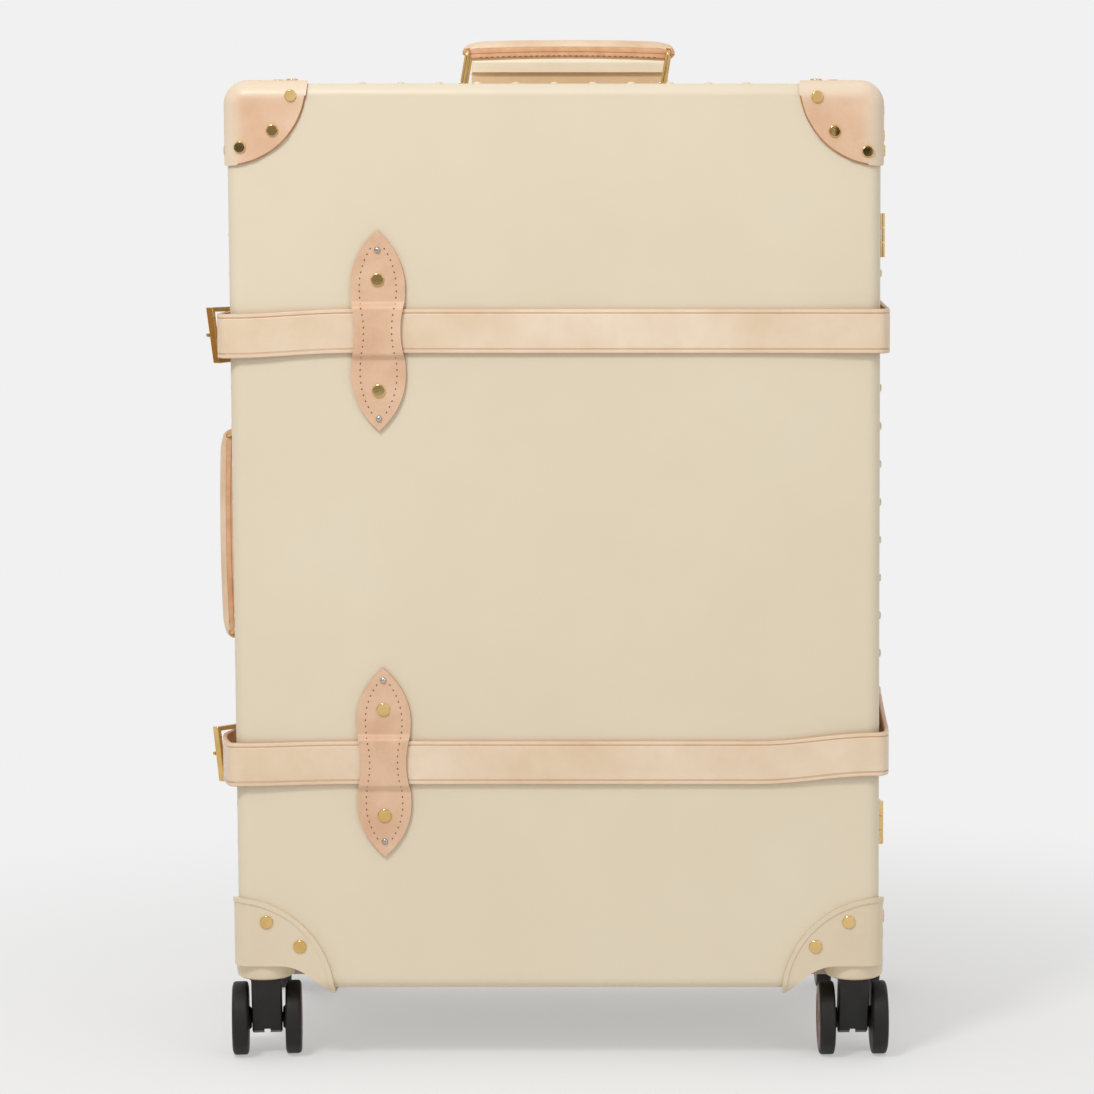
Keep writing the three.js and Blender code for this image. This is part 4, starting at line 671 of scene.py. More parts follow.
def banded(material, source_node, output, amount, first, last, stops):
    """Bands across a piece, by colours at shares of a value, darken the cloudy tint. The ends of the
    bands are (share, colour) too."""
    bands = add_node(material, "ShaderNodeValToRGB")
    elements = bands.color_ramp.elements
    for element, (share, colour) in zip(elements, (first, last)):
        element.position, element.color = share, colour
    for share, colour in stops:
        elements.new(share).color = colour
    join(material, (source_node, output, bands, "Fac"),
         (bands, "Color", overlaid(material, "MULTIPLY", amount), 7))


WHITE, RIM_TINT = (1, 1, 1, 1), shade("e2c5ab")
join(strap_leather, (strap_across, "Fac", strap_size, 0), (strap_size, 0, strap_scale, 0))
# Painted highlight and shade: a paler line and a darker line are painted across each crease groove. The outer
# bands are the edges' own tint.
banded(strap_leather, strap_scale, 0, 1, (0.0, WHITE), (1.0, RIM_TINT),
       ((0.66, WHITE), (0.69, shade("ead6c2")), (0.715, shade("d6b597")), (0.74, WHITE), (0.835, WHITE),
        (0.875, RIM_TINT)))
flesh = clouded("flesh side", "b98560", "cf9f78", 0.02, 0.0008, 0.00022, (0.75, 0.9))


def finished_strap(name, mesh, belt, body, nodes, inward):
    """A belt's length with its flesh side marked; inward gives the way to the case at a face's middle."""
    across = mesh.verts.layers.float.new("across")
    for vert in mesh.verts:
        vert[across] = vert.co.z - belt["z"] - off_level(belt, vert.co.x - MIDDLE_X)
    mesh.normal_update()
    for face in mesh.faces:
        if face.normal.dot(inward(face.calc_center_median())) > 0.6 and abs(face.normal.z) < 0.5:
            face.material_index = 1
    return finished(name, mesh, [strap_leather, flesh], body, nodes, crease=40)


def to_case(point):
    """From a point on a belt to the nearest part of the case's middle line, level."""
    nearest = Vector((min(max(point.x, MIDDLE_X - HALF_WIDTH + 0.03), MIDDLE_X + HALF_WIDTH - 0.03),
                      min(max(point.y, MIDDLE_Y - HALF_DEPTH + 0.03), MIDDLE_Y + HALF_DEPTH - 0.03), point.z))
    return (nearest - point).normalized()


def tail_point(gone):
    """The tail's end is cut to a rounded point."""
    return 1 - 0.86 * max(0, 1 - gone / 0.020) ** 2.2


for level, belt in BELTS.items():
    pivot = belt["pivot"]
    tail_low = BELT_MID + BELT_THICK + 0.001
    tail_high = PIVOT_OUT + FOLD_OUTER + BELT_MID
    under_bar = PIVOT_OUT + belt["tilt"] - FRONT_BAR_HALF - 0.0009 - BELT_MID
    bar_y = pivot - BUCKLE_REACH
    corner_off = BELT_LIFT if bar_y > -HALF_DEPTH + 0.030 else under_bar - 0.0023
    outer_x = HALF_WIDTH + BELT_LIFT
    tail = [Vector((-WALL - off, y, 0)) for off, y in
            ((tail_low, SEAM_Y + 0.015), (tail_low, pivot + (SEAM_Y - pivot) * 0.72), (tail_high, pivot),
             (under_bar, bar_y))]
    path = spline(end_run(-1, tail, corner_off, Vector((outer_x, SEAM_Y - 0.030, 0))), 9)
    run = swept(STRAP_PROFILE, stations(path, belt, -1, tail_point))
    middle = belt["z"] + belt["left"]
    pivot_at = Vector((MIDDLE_X - WALL - PIVOT_OUT, MIDDLE_Y + pivot, middle))
    prong_slot = block(pivot_at + Vector((-0.02, -0.026, -0.0022)),
                       pivot_at + Vector((0.0045, 0.015, 0.0022)))
    finished_strap(f"{level}_strap_front", combined(run, prong_slot, "DIFFERENCE"), belt,
                   body_of_node[f"{level}_belt_front"], [f"{level}_belt_front"], to_case)
    rear_start = [Vector((-WALL - BELT_MID, pivot + (HALF_DEPTH - 0.028 - pivot) * share, 0))
                  for share in (0, 0.58, 0.7)]
    rear_start.append(Vector((-outer_x, HALF_DEPTH - TURN * 1.2, 0)))
    path = spline(end_run(1, rear_start, BELT_LIFT, Vector((outer_x, SEAM_Y + 0.030, 0))), 9)
    run = swept(STRAP_PROFILE, stations(path, belt, 1))
    rounded, half = FOLD_OUTER - 0.0004, BELT_HALF
    fold = turned([(FOLD_INNER, -half), (rounded, -half), (FOLD_OUTER, -half + 0.0005),
                   (FOLD_OUTER, half - 0.0005), (rounded, half), (FOLD_INNER, half), (FOLD_INNER, -half)], 32)
    bar_room = turned([(0, -0.03), (FOLD_INNER, -0.03), (FOLD_INNER, 0.03), (0, 0.03)], 32)
    eye_room = Vector((0.0049, 0.0049, 0.0032))
    for extra, operation in ((placed(fold, Matrix.Translation(pivot_at)), "UNION"),
                             (placed(bar_room, Matrix.Translation(pivot_at)), "DIFFERENCE"),
                             (block(pivot_at - eye_room, pivot_at + eye_room), "DIFFERENCE")):
        run = combined(run, extra, operation)
    finished_strap(f"{level}_strap_rear", run, belt, body_of_node[f"{level}_belt_rear"],
                   [f"{level}_belt_rear"], to_case)
    wall_x = MIDDLE_X - WALL
    loop = block((wall_x - 0.0161, pivot_at.y + 0.020, middle - 0.0198),
                 (wall_x - 0.0003, pivot_at.y + 0.032, middle + 0.0198), 0.0012, 3)
    loop_room = block((wall_x - 0.0141, pivot_at.y, middle - 0.0178),
                      (wall_x - 0.0038, pivot_at.y + 0.05, middle + 0.0178))
    finished(f"{level}_belt_loop", combined(loop, loop_room, "DIFFERENCE"), [strap_leather],
             body_of_node[f"{level}_belt_rear"], crease=40)
    bend = [Vector((outer_x, SEAM_Y + y, 0)) for y in (-FLEX_HALF, -0.015, 0, 0.015, FLEX_HALF)]
    bent = finished_strap(f"{level}_strap_flex", swept(STRAP_PROFILE, stations(spline(bend, 4), belt, -1)),
                          belt, None, [f"{level}_belt_flex"], to_case)
    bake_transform(bent)

# Keeper tabs: tan leather, 2.6 mm thick, waisted and pointed, that bridge each belt on the front and the
# rear. They are sewn 7 mm inside their edge with brown thread and held by two gold rivets, and a small
# steel stud sits near each point.
TAB_LEATHER, TAB_X = 0.0026, {"upper": -0.138, "lower": -0.137}
TAB_HOLDS = {"upper": ((0.0400, 0.0633), (-0.0469, -0.0689)), "lower": ((0.0425, 0.0658), (-0.0425, -0.0633))}


def tab_half_width(up, half_length):
    """Half the tab's width at a height above or below its middle."""
    up = abs(up)
    curves = (((0.018, 0.0), (0.018, 0.0165), (0.0215, 0.0165), (0.0215, 0.033)),
              ((0.0215, 0.033), (0.0215, half_length - 0.022), (0.009, half_length - 0.0075),
               (0.0, half_length)))
    a, b, c, d = curves[0] if up < 0.033 else curves[1]
    low, high = 0.0, 1.0
    for _ in range(40):
        t = (low + high) / 2
        s = 1 - t
        reached = s ** 3 * a[1] + 3 * s * s * t * b[1] + 3 * s * t * t * c[1] + t ** 3 * d[1]
        low, high = (t, high) if reached < up else (low, t)
    return s ** 3 * a[0] + 3 * s * s * t * b[0] + 3 * s * t * t * c[0] + t ** 3 * d[0]


def bridge_off(up):
    """How far the tab's underside is off the face: it climbs a 5 mm ramp over the belt."""
    ramp = min(max((BELT_HALF + 0.0003 + 0.005 - abs(up)) / 0.005, 0), 1)
    return 0.0003 + 0.0038 * ramp * ramp * (3 - 2 * ramp)


tab_leather = leather("tab leather", "d6ab89", "e4bf9f", 0.03, rough=(0.4, 0.52), grain=0.001)
thread = clouded("waxed thread", "5b3a26", "78503a", 0.004, 0.0004, 0.00008, (0.5, 0.7))
steel = clouded("polished steel", "a6a29a", "c9c6bf", 0.01, 0.0008, 0.000005, (0.1, 0.2), metal=1.0)


def add_seam(mesh, line, pitch, length, width, height):
    """Stitches along a line of (point, outward) pairs: short rounded bars, each sunk at its ends."""
    gone, due = 0.0, pitch / 2
    for (here, outward), (there, _) in zip(line, line[1:]):
        step = (there - here).length
        while step and gone + step >= due:
            at = here.lerp(there, (due - gone) / step)
            stitch = bmesh.new()
            bmesh.ops.create_icosphere(stitch, subdivisions=1, radius=1)
            along = (there - here).normalized()
            side = outward.cross(along)
            shape = Matrix((along * length / 2, side * width / 2, outward * height)).transposed().to_4x4()
            add_to(mesh, placed(stitch, Matrix.Translation(at) @ shape))
            due += pitch
        gone += step


for level, belt in BELTS.items():
    half_length, tab_x = belt["tab"] / 2, MIDDLE_X + TAB_X[level]
    for face in ("front", "rear"):
        sign = -1 if face == "front" else 1
        node = f"{level}_tab_{face}"
        tab = bmesh.new()
        columns, rows = 17, 121
        bmesh.ops.create_grid(tab, x_segments=columns - 1, y_segments=rows - 1, size=1)
        for vert in tab.verts:
            across, up = vert.co.x, vert.co.y * half_length * 0.9995
            up = math.copysign(half_length * (1 - (1 - abs(up) / half_length) ** 1.15), up)
            width = max(tab_half_width(up, half_length), 0.0004)
            vert.co = (tab_x + across * width, MIDDLE_Y + sign * (HALF_DEPTH + bridge_off(up)),
                       belt["z"] + up)
        bmesh.ops.recalc_face_normals(tab, faces=tab.faces)
        pushed = bmesh.ops.extrude_face_region(tab, geom=tab.faces[:])["geom"]
        bmesh.ops.translate(tab, vec=(0, sign * TAB_LEATHER, 0),
                            verts=[part for part in pushed if isinstance(part, bmesh.types.BMVert)])
        bmesh.ops.recalc_face_normals(tab, faces=tab.faces)
        tab.normal_update()
        for side_face in tab.faces:
            if abs(side_face.normal.y) < 0.3:
                side_face.material_index = 1
        body = body_of_node[node]
        finished(f"{level}_tab_leather_{face}", tab, [tab_leather, cut_edge], body, [node],
                 crease=40, rim=0.0008, rim_steps=3)
        seam, fittings = bmesh.new(), bmesh.new()
        out = Vector((0, sign, 0))
        for side in (-1, 1):
            reach = half_length - 0.0125
            line = []
            for step in range(161):
                up = -reach + 2 * reach * step / 160
                width = max(tab_half_width(up, half_length) - 0.0070, 0.0030)
                y = MIDDLE_Y + sign * (HALF_DEPTH + bridge_off(up) + TAB_LEATHER)
                line.append((Vector((tab_x + side * width, y, belt["z"] + up)), out))
            add_seam(seam, line, 0.0050, 0.0018, 0.0012, 0.0003)
        finished(f"{level}_tab_seam_{face}", seam, [thread], body, crease=70)
        skin, studs = MIDDLE_Y + sign * (HALF_DEPTH + 0.0003 + TAB_LEATHER), bmesh.new()
        for i, (rivet_up, stud_up) in enumerate(TAB_HOLDS[level]):
            tipped = Vector((0.02 - 0.03 * i, sign, 0.015 * i))
            flat_rivet(fittings, (tab_x, skin, belt["z"] + rivet_up), tipped, 0.0054)
            dome(studs, (tab_x, skin, belt["z"] + stud_up), (0, sign, 0), 0.0025, 0.0019, 24, 0.1)
        gilded(f"{level}_tab_rivets_{face}", fittings, node)
        finished(f"{level}_tab_studs_{face}", studs, [steel], body, crease=50)

# Buckles: cast and polished frames with a deep front bar and a pivot bar in the belt's fold, and a round
# prong with an eye. Both are gold-plated, and the frames lean as they do in the photograph.


def rod(path, radius, steps=12, taper=None):
    """A round bar through the points of a path; taper gives the radius's share at each point."""
    places = []
    for i, point in enumerate(path):
        along = (path[min(i + 1, len(path) - 1)] - path[max(i - 1, 0)]).normalized()
        side = (side - along * side.dot(along) if places else along.orthogonal()).normalized()
        size = radius * (taper(i / (len(path) - 1)) if taper else 1)
        turn = Matrix((side * size, along.cross(side) * size, along)).transposed().to_4x4()
        places.append(Matrix.Translation(point) @ turn)
    circle = [(math.cos(math.tau * i / steps), math.sin(math.tau * i / steps)) for i in range(steps)]
    return swept(circle, places)


PRONG_RADIUS = 0.0015
for level, belt in BELTS.items():
    pivot_at = Vector((MIDDLE_X - WALL - PIVOT_OUT, MIDDLE_Y + belt["pivot"], belt["z"] + belt["left"]))
    angle = math.asin(belt["tilt"] / BUCKLE_REACH)
    far, near = BUCKLE_REACH + BAR_HALF, BUCKLE_REACH - BAR_HALF
    inside = BUCKLE_HALF - 2 * BAR_HALF
    ring = block((-BAR_HALF, -far, -BUCKLE_HALF), (BAR_HALF, BAR_HALF, BUCKLE_HALF))
    ring = combined(ring, block((-0.01, -near, -inside), (0.01, -BAR_HALF, inside)), "DIFFERENCE")
    bar = block((-FRONT_BAR_HALF, -far, -BUCKLE_HALF), (FRONT_BAR_HALF, -near, BUCKLE_HALF))
    ring = combined(ring, bar, "UNION")
    for vert in ring.verts:
        vert.co.x -= vert.co.z * 0.14 * min(max(-vert.co.y / BUCKLE_REACH, 0), 1)
    ring = placed(ring, Matrix.Translation(pivot_at) @ Matrix.Rotation(-angle, 4, "Z"))
    gilded(f"{level}_buckle_gold", ring, f"{level}_buckle_frame", [f"{level}_buckle_frame"], crease=40,
           rim=0.0016, rim_steps=5)
    rest = angle + math.asin((FRONT_BAR_HALF + 0.0003 + PRONG_RADIUS) / near)
    eye = turned([(0.0024, -0.0025), (0.0038, -0.0025), (0.0042, -0.0021), (0.0042, 0.0021), (0.0038, 0.0025),
                  (0.0024, 0.0025), (0.0024, -0.0025)], 32)
    pin = rod([Vector((0, -y, 0)) for y in (0.0030, 0.012, 0.022, 0.028, 0.0305, 0.0320, 0.0328, 0.0330)],
              PRONG_RADIUS, 14,
              lambda share: 1 if share < 0.6 else (1 - ((share - 0.6) / 0.4) ** 3) ** 0.5 * 0.96 + 0.04)
    prong = placed(combined(eye, pin, "UNION"), Matrix.Translation(pivot_at) @ Matrix.Rotation(-rest, 4, "Z"))
    gilded(f"{level}_prong_gold", prong, f"{level}_buckle_prong", [f"{level}_buckle_prong"], crease=40)

# Hinges: two gold-plated leaves with knuckles on one pin, each held by three flat-headed screws with a
# single slot. Their edges are softened.


def screw(mesh, slots, at, outward, radius, slot_turn):
    """A slotted head on a surface: a low dome in one mesh, and in the other a dark bar painted as the slot's
    shadow.
    """
    outward = Vector(outward)
    dome(mesh, at, outward, radius, 0.0006, 20, 0.9)
    bar = block((-radius * 0.82, -radius * 0.12, 0.0), (radius * 0.82, radius * 0.12, 0.0001))
    turn = Vector((0, 0, 1)).rotation_difference(outward).to_matrix().to_4x4()
    add_to(slots, placed(bar, Matrix.Translation(Vector(at) + outward * 0.00048) @ turn
                         @ Matrix.Rotation(slot_turn, 4, "Z")))


def set_screws(node, places, outward, radius):
    """A node's screws, from (place, turn of the slot) pairs: their heads, and the painted shadows of their
    slots.
    """
    heads, slots = bmesh.new(), bmesh.new()
    for at, slot_turn in places:
        screw(heads, slots, at, outward, radius, slot_turn)
    gilded(f"{node}_screws", heads, node)
    finished(f"{node}_slots", slots, [painted_slot_shadow], body_of_node[node])


# Painted shadow: the slots are dark bars laid on the screw heads, not cut into them.
painted_slot_shadow = clouded("slot shadow", "2a2118", "3a2e20", 0.004, 0.0005, 0.00001, (0.6, 0.8))
for level, z in (("upper", 0.660), ("lower", 0.175)):
    for leaf, sign in (("base", 1), ("lid", -1)):
        node = f"{level}_hinge_{leaf}_leaf"
        smooth_copy(node, [gold], crease=38, rim=0.0004)
        leaf_face = MIDDLE_X + WALL + 0.0021
        set_screws(node, [((leaf_face, MIDDLE_Y + SEAM_Y + sign * back, z + up), 0.4 + 1.1 * i + sign)
                          for i, (back, up) in enumerate(((0.012, 0.011), (0.012, -0.011), (0.024, 0.0)))],
                   (1, 0, 0), 0.0026)

# Locks: a stepped gold-plated case with a ribbed sliding button on the base, and a hasp hinged on a
# riveted plate on the lid. Pressed and polished brass, 1.6 to 2 mm thick.
for level, z in (("upper", 0.532), ("lower", 0.295)):
    for part, rim in (("lock_case", 0.0003), ("lock_button", 0.0002), ("hasp_plate", 0.0003),
                      ("hasp", 0.0003)):
        smooth_copy(f"{level}_{part}", [gold], crease=38, rim=rim)
    low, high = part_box(f"{level}_lock_button")
    ribs = bmesh.new()
    for i in range(5):
        y = low.y + (high.y - low.y) * (0.2 + 0.15 * i)
        add_to(ribs, block((low.x - 0.0003, y - 0.00022, low.z + 0.0015),
                           (low.x + 0.0005, y + 0.00022, high.z - 0.0015), 0.0001, 1))
    gilded(f"{level}_button_ribs", ribs, f"{level}_lock_button", crease=35)
    plate_low, plate_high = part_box(f"{level}_hasp_plate")
    case_low, case_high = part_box(f"{level}_lock_case")
    plate_spots = [(plate_high.x - 0.0016, plate_low.y + back, z + up) for back in (0.006, 0.022)
                   for up in (-0.012, 0.012)]
    case_spots = [(case_low.x, case_high.y - 0.0045, z + up) for up in (-0.0125, 0.0125)]
    for name, node, spots, radius, rise in (("hasp", "hasp_plate", plate_spots, 0.0021, 0.0008),
                                            ("case", "lock_case", case_spots, 0.0018, 0.0007)):
        rivets = bmesh.new()
        for at in spots:
            dome(rivets, at, (-1, 0, 0), radius, rise, 18)
        gilded(f"{level}_{name}_rivets", rivets, f"{level}_{node}")

# Carry handles: leather grips on rectangular wire links, in gold-plated saddles screwed to the top and to
# the left side. A grip is a domed leather skin over three glued layers whose cut edges show at the sides.
HANDLE_HALF, RING_REACH, RING_PIVOT, RING_WIRE, GRIP_SIDE = 0.0825, 0.029, 0.0046, 0.002, 0.0124
grip_leather = leather("grip leather", "dbb995", "ecd3b8", 0.04, rough=(0.38, 0.5), grain=0.0011)
layered = clouded("layered edge", "cf9a70", "e3b48c", 0.012, 0.0006, 0.0001, (0.45, 0.6))
layer_place = add_node(layered, "ShaderNodeAttribute", attribute_name="layer")
banded(layered, layer_place, "Fac", 0.8, (0.03, shade("b07c52")), (1.0, shade("d5a179")),
       ((0.08, WHITE), (0.27, WHITE), (0.31, shade("c08a60")), (0.35, WHITE), (0.56, WHITE),
        (0.60, shade("b98058")), (0.66, shade("f0e6dc"))))
GRIP_SHAPE = ((0.0, 0.0), (0.0100, 0.0), (0.0117, 0.03), (0.0124, 0.09), (0.0125, 0.16), (0.0125, 0.29),
              (0.0122, 0.315), (0.0125, 0.34), (0.0125, 0.46), (0.0124, 0.57), (0.0121, 0.595),
              (0.0122, 0.62), (0.0119, 0.71), (0.0108, 0.83), (0.0086, 0.93), (0.0050, 0.985), (0.0, 1.0))


def grip_ends(share):
    """The grip's underside and top at a share of its half length: a flat arch under a low crown."""
    return -0.0070 + 0.0022 * (1 - share * share), 0.0084 + 0.0018 * (1 - share * share)


def grip_mesh():
    """A grip lying along X, with its links' bars on the axis."""
    end = HANDLE_HALF + 0.0045
    outline = [*GRIP_SHAPE, *[(-y, share) for y, share in GRIP_SHAPE[-2:0:-1]]]
    places = []
    for step in range(-40, 41):
        t = step / 40
        x = end * math.copysign(1 - (1 - abs(t)) ** 1.5, t)
        to_end = end - abs(x)
        bottom, top = grip_ends(x / end)
        top -= 0.0036 * max(0, 1 - to_end / 0.019) ** 2 + 0.0038 * max(0, 1 - to_end / 0.005) ** 3
        bottom += 0.0052 * max(0, 1 - to_end / 0.009) ** 2.4
        places.append(Matrix(((0, 0, 1, x), (1, 0, 0, 0), (0, top - bottom, 0, bottom), (0, 0, 0, 1))))
    mesh = swept(outline, places)
    for side in (-1, 1):
        bore = turned([(0, -0.02), (0.00215, -0.02), (0.00215, 0.02), (0, 0.02)], 24)
        mesh = combined(mesh, placed(bore, Matrix.Translation((side * HANDLE_HALF, 0, 0))
                                     @ Matrix.Rotation(math.pi / 2, 4, "X")), "DIFFERENCE")
    layer = mesh.verts.layers.float.new("layer")
    mesh.normal_update()
    for vert in mesh.verts:
        bottom, top = grip_ends(vert.co.x / end)
        vert[layer] = min(max((vert.co.z - bottom) / (top - bottom), 0), 1)
    for face in mesh.faces:
        height = sum(vert[layer] for vert in face.verts) / len(face.verts)
        if height < 0.6 and face.normal.z > -0.8:
            face.material_index = 1
    return mesh


def ring_mesh():
    """A link standing on its saddle's pivot: round wire bent to a rectangle in the YZ plane."""
    half, bend = 0.015, 0.0032
    path = []
    for cy, cz, first in ((half - bend, RING_REACH - bend, 0), (-half + bend, RING_REACH - bend, 90),
                          (-half + bend, bend, 180), (half - bend, bend, 270)):
        for step in range(7):
            a = math.radians(first + 15 * step)
            path.append(Vector((0, cy + bend * math.cos(a), cz + bend * math.sin(a))))
    places = []
    for i, point in enumerate(path + path[:1]):
        along = (path[(i + 1) % len(path)] - path[(i - 1) % len(path)]).normalized()
        across = Vector((RING_WIRE, 0, 0))
        turn = Matrix((across, along.cross(across), along)).transposed().to_4x4()
        places.append(Matrix.Translation(point) @ turn)
    circle = [(math.cos(math.tau * i / 14), math.sin(math.tau * i / 14)) for i in range(14)]
    return swept(circle, places, closed=True)


top_place = Matrix.Translation((MIDDLE_X - 0.0023, MIDDLE_Y + SEAM_Y + 0.051, TOP_Z - 0.0020))
side_place = Matrix.Translation((MIDDLE_X - WALL - 0.0003, MIDDLE_Y + SEAM_Y + 0.051, 0.430)) \
    @ Matrix.Rotation(-math.pi / 2, 4, "Y")
for name, place, lean in (("top_handle", top_place, math.radians(10)),
                          ("side_handle", side_place, math.radians(-40))):
    outward = place.to_3x3() @ Vector((0, 0, 1))
    for side, sign in (("left", -1), ("right", 1)):
        saddle = f"{name}_saddle_{side}"
        smooth_copy(saddle, [gold], crease=38, rim=0.0004)
        set_screws(saddle, [(place @ Vector((sign * HANDLE_HALF + foot * 0.0125, y, 0.0016)), foot + y * 300)
                            for foot in (-1, 1) for y in (-0.0055, 0.0055)], outward, 0.0024)
        ring = placed(ring_mesh(), place @ Matrix.Translation((sign * HANDLE_HALF, 0, RING_PIVOT))
                      @ Matrix.Rotation(lean, 4, "Y"))
        node = f"{name}_ring_{side}"
        gilded(f"{node}_wire", ring, node, [node], crease=60)
    grip_place = place @ Matrix.Translation((math.sin(lean) * RING_REACH, 0,
                                             RING_PIVOT + math.cos(lean) * RING_REACH))
    node = f"{name}_grip"
    finished(f"{name}_leather", placed(grip_mesh(), grip_place), [grip_leather, layered], body_of_node[node],
             [node], crease=55)
    seam = bmesh.new()
    for side in (-1, 1):
        across = grip_place.to_3x3() @ Vector((0, side, 0))
        line = [(grip_place @ Vector((x, side * GRIP_SIDE, grip_ends(x / 0.087)[0] + 0.0015)), across)
                for x in [-0.074 + 0.148 * step / 60 for step in range(61)]]
        add_seam(seam, line, 0.0046, 0.0030, 0.0008, 0.0003)
    finished(f"{name}_seam", seam, [thread], body_of_node[node], crease=70)

# Trolley handle: a cream moulded bar on two aluminium rods that slide in aluminium tubes, in a black
# moulded bezel. The release button is a darker cream and stands 2.4 mm proud.
cream_plastic = clouded("moulded ivory plastic", "e9dac0", "f2e6cf", 0.05, 0.0009, 0.00002, (0.28, 0.36),
                        coat=0.15)
# Painted shade: the cove faces under the bar take a warmer, darker ivory that stands in for the shade and
# warm reflected light in that hollow.
cove_shade_paint = clouded("ivory with painted cove shade", "e2c096", "eacca6", 0.05, 0.0009, 0.00002, (0.34, 0.42))
button_plastic = clouded("button plastic", "e2d0b2", "ecdcc0", 0.02, 0.0009, 0.00002, (0.3, 0.4))
aluminium = clouded("brushed aluminium", "a9a7a3", "c8c6c2", 0.03, 0.0006, 0.00002, (0.25, 0.38), metal=1.0)
brushed_place = add_node(aluminium, "ShaderNodeTexCoord")
brushed = add_node(aluminium, "ShaderNodeMapping", Scale=(9, 9, 0.25))
join(aluminium, (brushed_place, "Object", brushed, "Vector"),
     (brushed, "Vector", aluminium.node_tree.nodes["pores"], "Vector"))
grip_low, grip_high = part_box("trolley_grip")
bar_low, bezel_low = grip_high.z - 0.028, TOP_Z - 0.0022
bar = block((grip_low.x - 0.003, grip_low.y, bar_low), (grip_high.x + 0.001, grip_high.y, grip_high.z),
            0.0045, 6)
for face_y, sign in ((grip_low.y, 1), (grip_high.y, -1)):
    cove = block((grip_low.x - 0.02, face_y - sign * 0.02, grip_high.z - 0.029),
                 (grip_high.x + 0.02, face_y + sign * 0.0040, grip_high.z - 0.0120))
    inner = [edge for edge in cove.edges if all(abs(v.co.y - face_y - sign * 0.0040) < 1e-6
                                                and v.co.z > grip_high.z - 0.0125 for v in edge.verts)]
    round_edges(cove, inner, 0.0035, 6)
    bar = combined(bar, cove, "DIFFERENCE")
button_low, button_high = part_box("trolley_button")
gap = Vector((0.0003, 0.0003, 0.0003))
pocket = block(button_low - gap, button_high + gap * 8)
round_edges(pocket, [edge for edge in pocket.edges if abs(edge.verts[0].co.z - edge.verts[1].co.z) > 0.001],
            (button_high.y - button_low.y) / 2, 10)
bar = combined(bar, pocket, "DIFFERENCE")
ROD_SPACING, ROD_WIDTH, ROD_DEPTH = 0.110, 0.013, 0.008
half_rod = Vector((ROD_WIDTH / 2, ROD_DEPTH / 2, 0))
for sign in (-1, 1):
    foot = Vector(((button_low.x + button_high.x) / 2 + sign * ROD_SPACING / 2,
                   (grip_low.y + grip_high.y) / 2, grip_low.z))
    head = Vector((foot.x, foot.y, bar_low + 0.004))
    add_to(bar, block(foot - half_rod, head + half_rod, 0.0012, 4))
# Faces under the bar go to aluminium, and the cove faces to the painted shade.
for face in bar.faces:
    middle = face.calc_center_median()
    hollow = (middle.z < grip_high.z - 0.0119 and abs(face.normal.x) < 0.5
              and min(middle.y - grip_low.y, grip_high.y - middle.y) > 0.0002)
    if middle.z < bar_low - 0.0002:
        face.material_index = 1
    elif hollow and middle.z > bar_low + 0.0003:
        face.material_index = 2
finished("trolley_bar_and_rods", bar, [cream_plastic, aluminium, cove_shade_paint], body_of_node["trolley_grip"],
         ["trolley_grip"], crease=32)
smooth_copy("trolley_button", [button_plastic], crease=38, rim=0.0005)
smooth_copy("trolley_housing", [black_plastic, aluminium],
            lambda middle, normal: int(middle.z < bezel_low), crease=38)

# Stage: a pale matt floor that keeps a soft shadow and fades into the backdrop, an even studio sky that is
# brighter overhead, a soft key lamp above on the left and a weak fill on the right. Black, grey and tan
# boards stand behind the camera and at both sides, where only metal and gloss show them.
studio = bpy.data.worlds.new("studio")
bpy.context.scene.world = studio
studio.use_nodes = True
BACKDROP = shade("f1f1f1")
way = add_node(studio, "ShaderNodeTexCoord")
height = add_node(studio, "ShaderNodeSeparateXYZ")
overhead = add_node(studio, "ShaderNodeMapRange", interpolation_type="SMOOTHSTEP", From_Min=-0.1,
                    From_Max=0.9, To_Min=0.445, To_Max=0.735)
seen = add_node(studio, "ShaderNodeLightPath")
camera_or_gloss = add_node(studio, "ShaderNodeMath", operation="MAXIMUM")
any_sight = add_node(studio, "ShaderNodeMath", operation="MAXIMUM")
shown = add_node(studio, "ShaderNodeMix", data_type="RGBA")
shown.inputs[7].default_value = BACKDROP
join(studio, (way, "Generated", height, "Vector"), (height, "Z", overhead, "Value"),
     (seen, "Is Camera Ray", camera_or_gloss, 0), (seen, "Is Glossy Ray", camera_or_gloss, 1),
     (camera_or_gloss, 0, any_sight, 0), (seen, "Is Transmission Ray", any_sight, 1),
     (any_sight, 0, shown, 0), (overhead, "Result", shown, 6),
     (shown, 2, studio.node_tree.nodes["Background"], "Color"))

floor_mesh = bmesh.new()
bmesh.ops.create_circle(floor_mesh, cap_ends=True, segments=96, radius=3.0)
floor_paint = bpy.data.materials.new("floor paint")
floor_paint.use_nodes = True
matt = shader_of(floor_paint)
matt.inputs["Base Color"].default_value = (0.84, 0.84, 0.84, 1)
matt.inputs["Roughness"].default_value = 1
matt.inputs["Specular IOR Level"].default_value = 0
glow = add_node(floor_paint, "ShaderNodeEmission", Color=BACKDROP)
blend = add_node(floor_paint, "ShaderNodeMixShader")
floor_place = add_node(floor_paint, "ShaderNodeTexCoord")
distance = add_node(floor_paint, "ShaderNodeVectorMath", operation="LENGTH")
fade = add_node(floor_paint, "ShaderNodeMapRange", interpolation_type="SMOOTHSTEP", From_Min=0.25,
                From_Max=1.1, To_Min=0.45, To_Max=1.0)
sight = add_node(floor_paint, "ShaderNodeLightPath")
either = add_node(floor_paint, "ShaderNodeMath", operation="MAXIMUM")
faded = add_node(floor_paint, "ShaderNodeMath", operation="MULTIPLY")
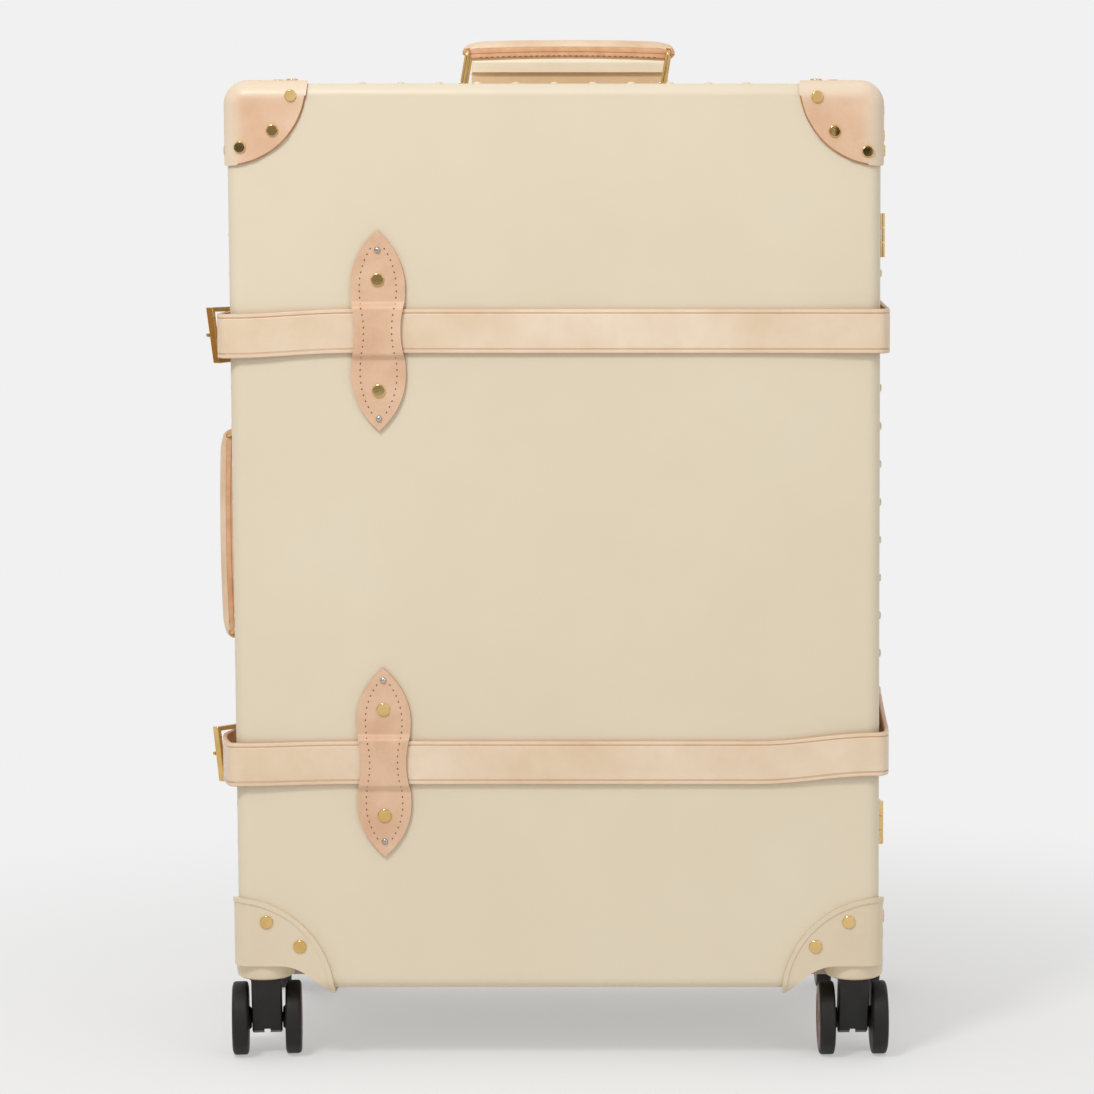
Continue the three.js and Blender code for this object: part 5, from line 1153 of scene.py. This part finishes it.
join(floor_paint, (floor_place, "Object", distance, 0), (distance, "Value", fade, "Value"),
     (sight, "Is Camera Ray", either, 0), (sight, "Is Glossy Ray", either, 1), (either, 0, faded, 0),
     (fade, "Result", faded, 1), (faded, 0, blend, "Fac"), (matt, "BSDF", blend, 1),
     (glow, "Emission", blend, 2),
     (blend, "Shader", floor_paint.node_tree.nodes["Material Output"], "Surface"))


def board_paint(name, colour):
    """Plain matt paint for a board."""
    paint = bpy.data.materials.new(name)
    paint.use_nodes = True
    shader_of(paint).inputs["Base Color"].default_value = colour
    shader_of(paint).inputs["Roughness"].default_value = 1
    return paint


black_board = board_paint("black board", (0.012, 0.012, 0.012, 1))
grey_board = board_paint("grey board", (0.45, 0.45, 0.45, 1))
tan_board = board_paint("tan board", shade("c9a67c"))


def stand(name, mesh, paint, at, aim=None):
    """Puts a stage piece at its place, turned to face a point."""
    data = bpy.data.meshes.new(name)
    mesh.to_mesh(data)
    mesh.free()
    data.materials.append(paint)
    piece = bpy.data.objects.new(name, data)
    bpy.context.scene.collection.objects.link(piece)
    piece.location = at
    if aim:
        piece.rotation_euler = (Vector(aim) - Vector(at)).to_track_quat("-Z", "Y").to_euler()
    return piece


stand("floor", floor_mesh, floor_paint, (0, 0, 0))
for name, paint, at, width, tall in (("board_middle", grey_board, (-0.37, -3.6, 0.75), 0.57, 0.42),
                                     ("board_left", black_board, (-1.30, -3.5, 0.79), 0.33, 0.30),
                                     ("board_right", black_board, (0.92, -3.5, 0.8), 0.66, 0.26),
                                     ("board_side_left", tan_board, (-2.75, -1.65, 0.6), 1.0, 0.8),
                                     ("board_far_left", black_board, (-3.2, 0.15, 0.6), 0.3, 0.8),
                                     ("board_far_right", black_board, (2.9, -1.2, 0.8), 0.35, 0.9)):
    card = bmesh.new()
    bmesh.ops.create_grid(card, x_segments=1, y_segments=1, size=1)
    bmesh.ops.scale(card, vec=(width, tall, 1), verts=card.verts)
    card_piece = stand(name, card, paint, at, (0, 0, 0.6))
    card_piece.visible_camera = card_piece.visible_diffuse = card_piece.visible_shadow = False
for name, at, size, watts in (("key", (-0.75, -1.75, 2.35), 0.5, 29), ("fill", (1.5, -1.9, 1.5), 0.9, 4)):
    lamp = bpy.data.lights.new(name, "AREA")
    lamp.shape, lamp.size, lamp.energy = "SQUARE", size, watts
    lamp_stand = bpy.data.objects.new(name, lamp)
    bpy.context.scene.collection.objects.link(lamp_stand)
    lamp_stand.location = at
    lamp_stand.rotation_euler = (Vector((0, 0, 0.45)) - Vector(at)).to_track_quat("-Z", "Y").to_euler()
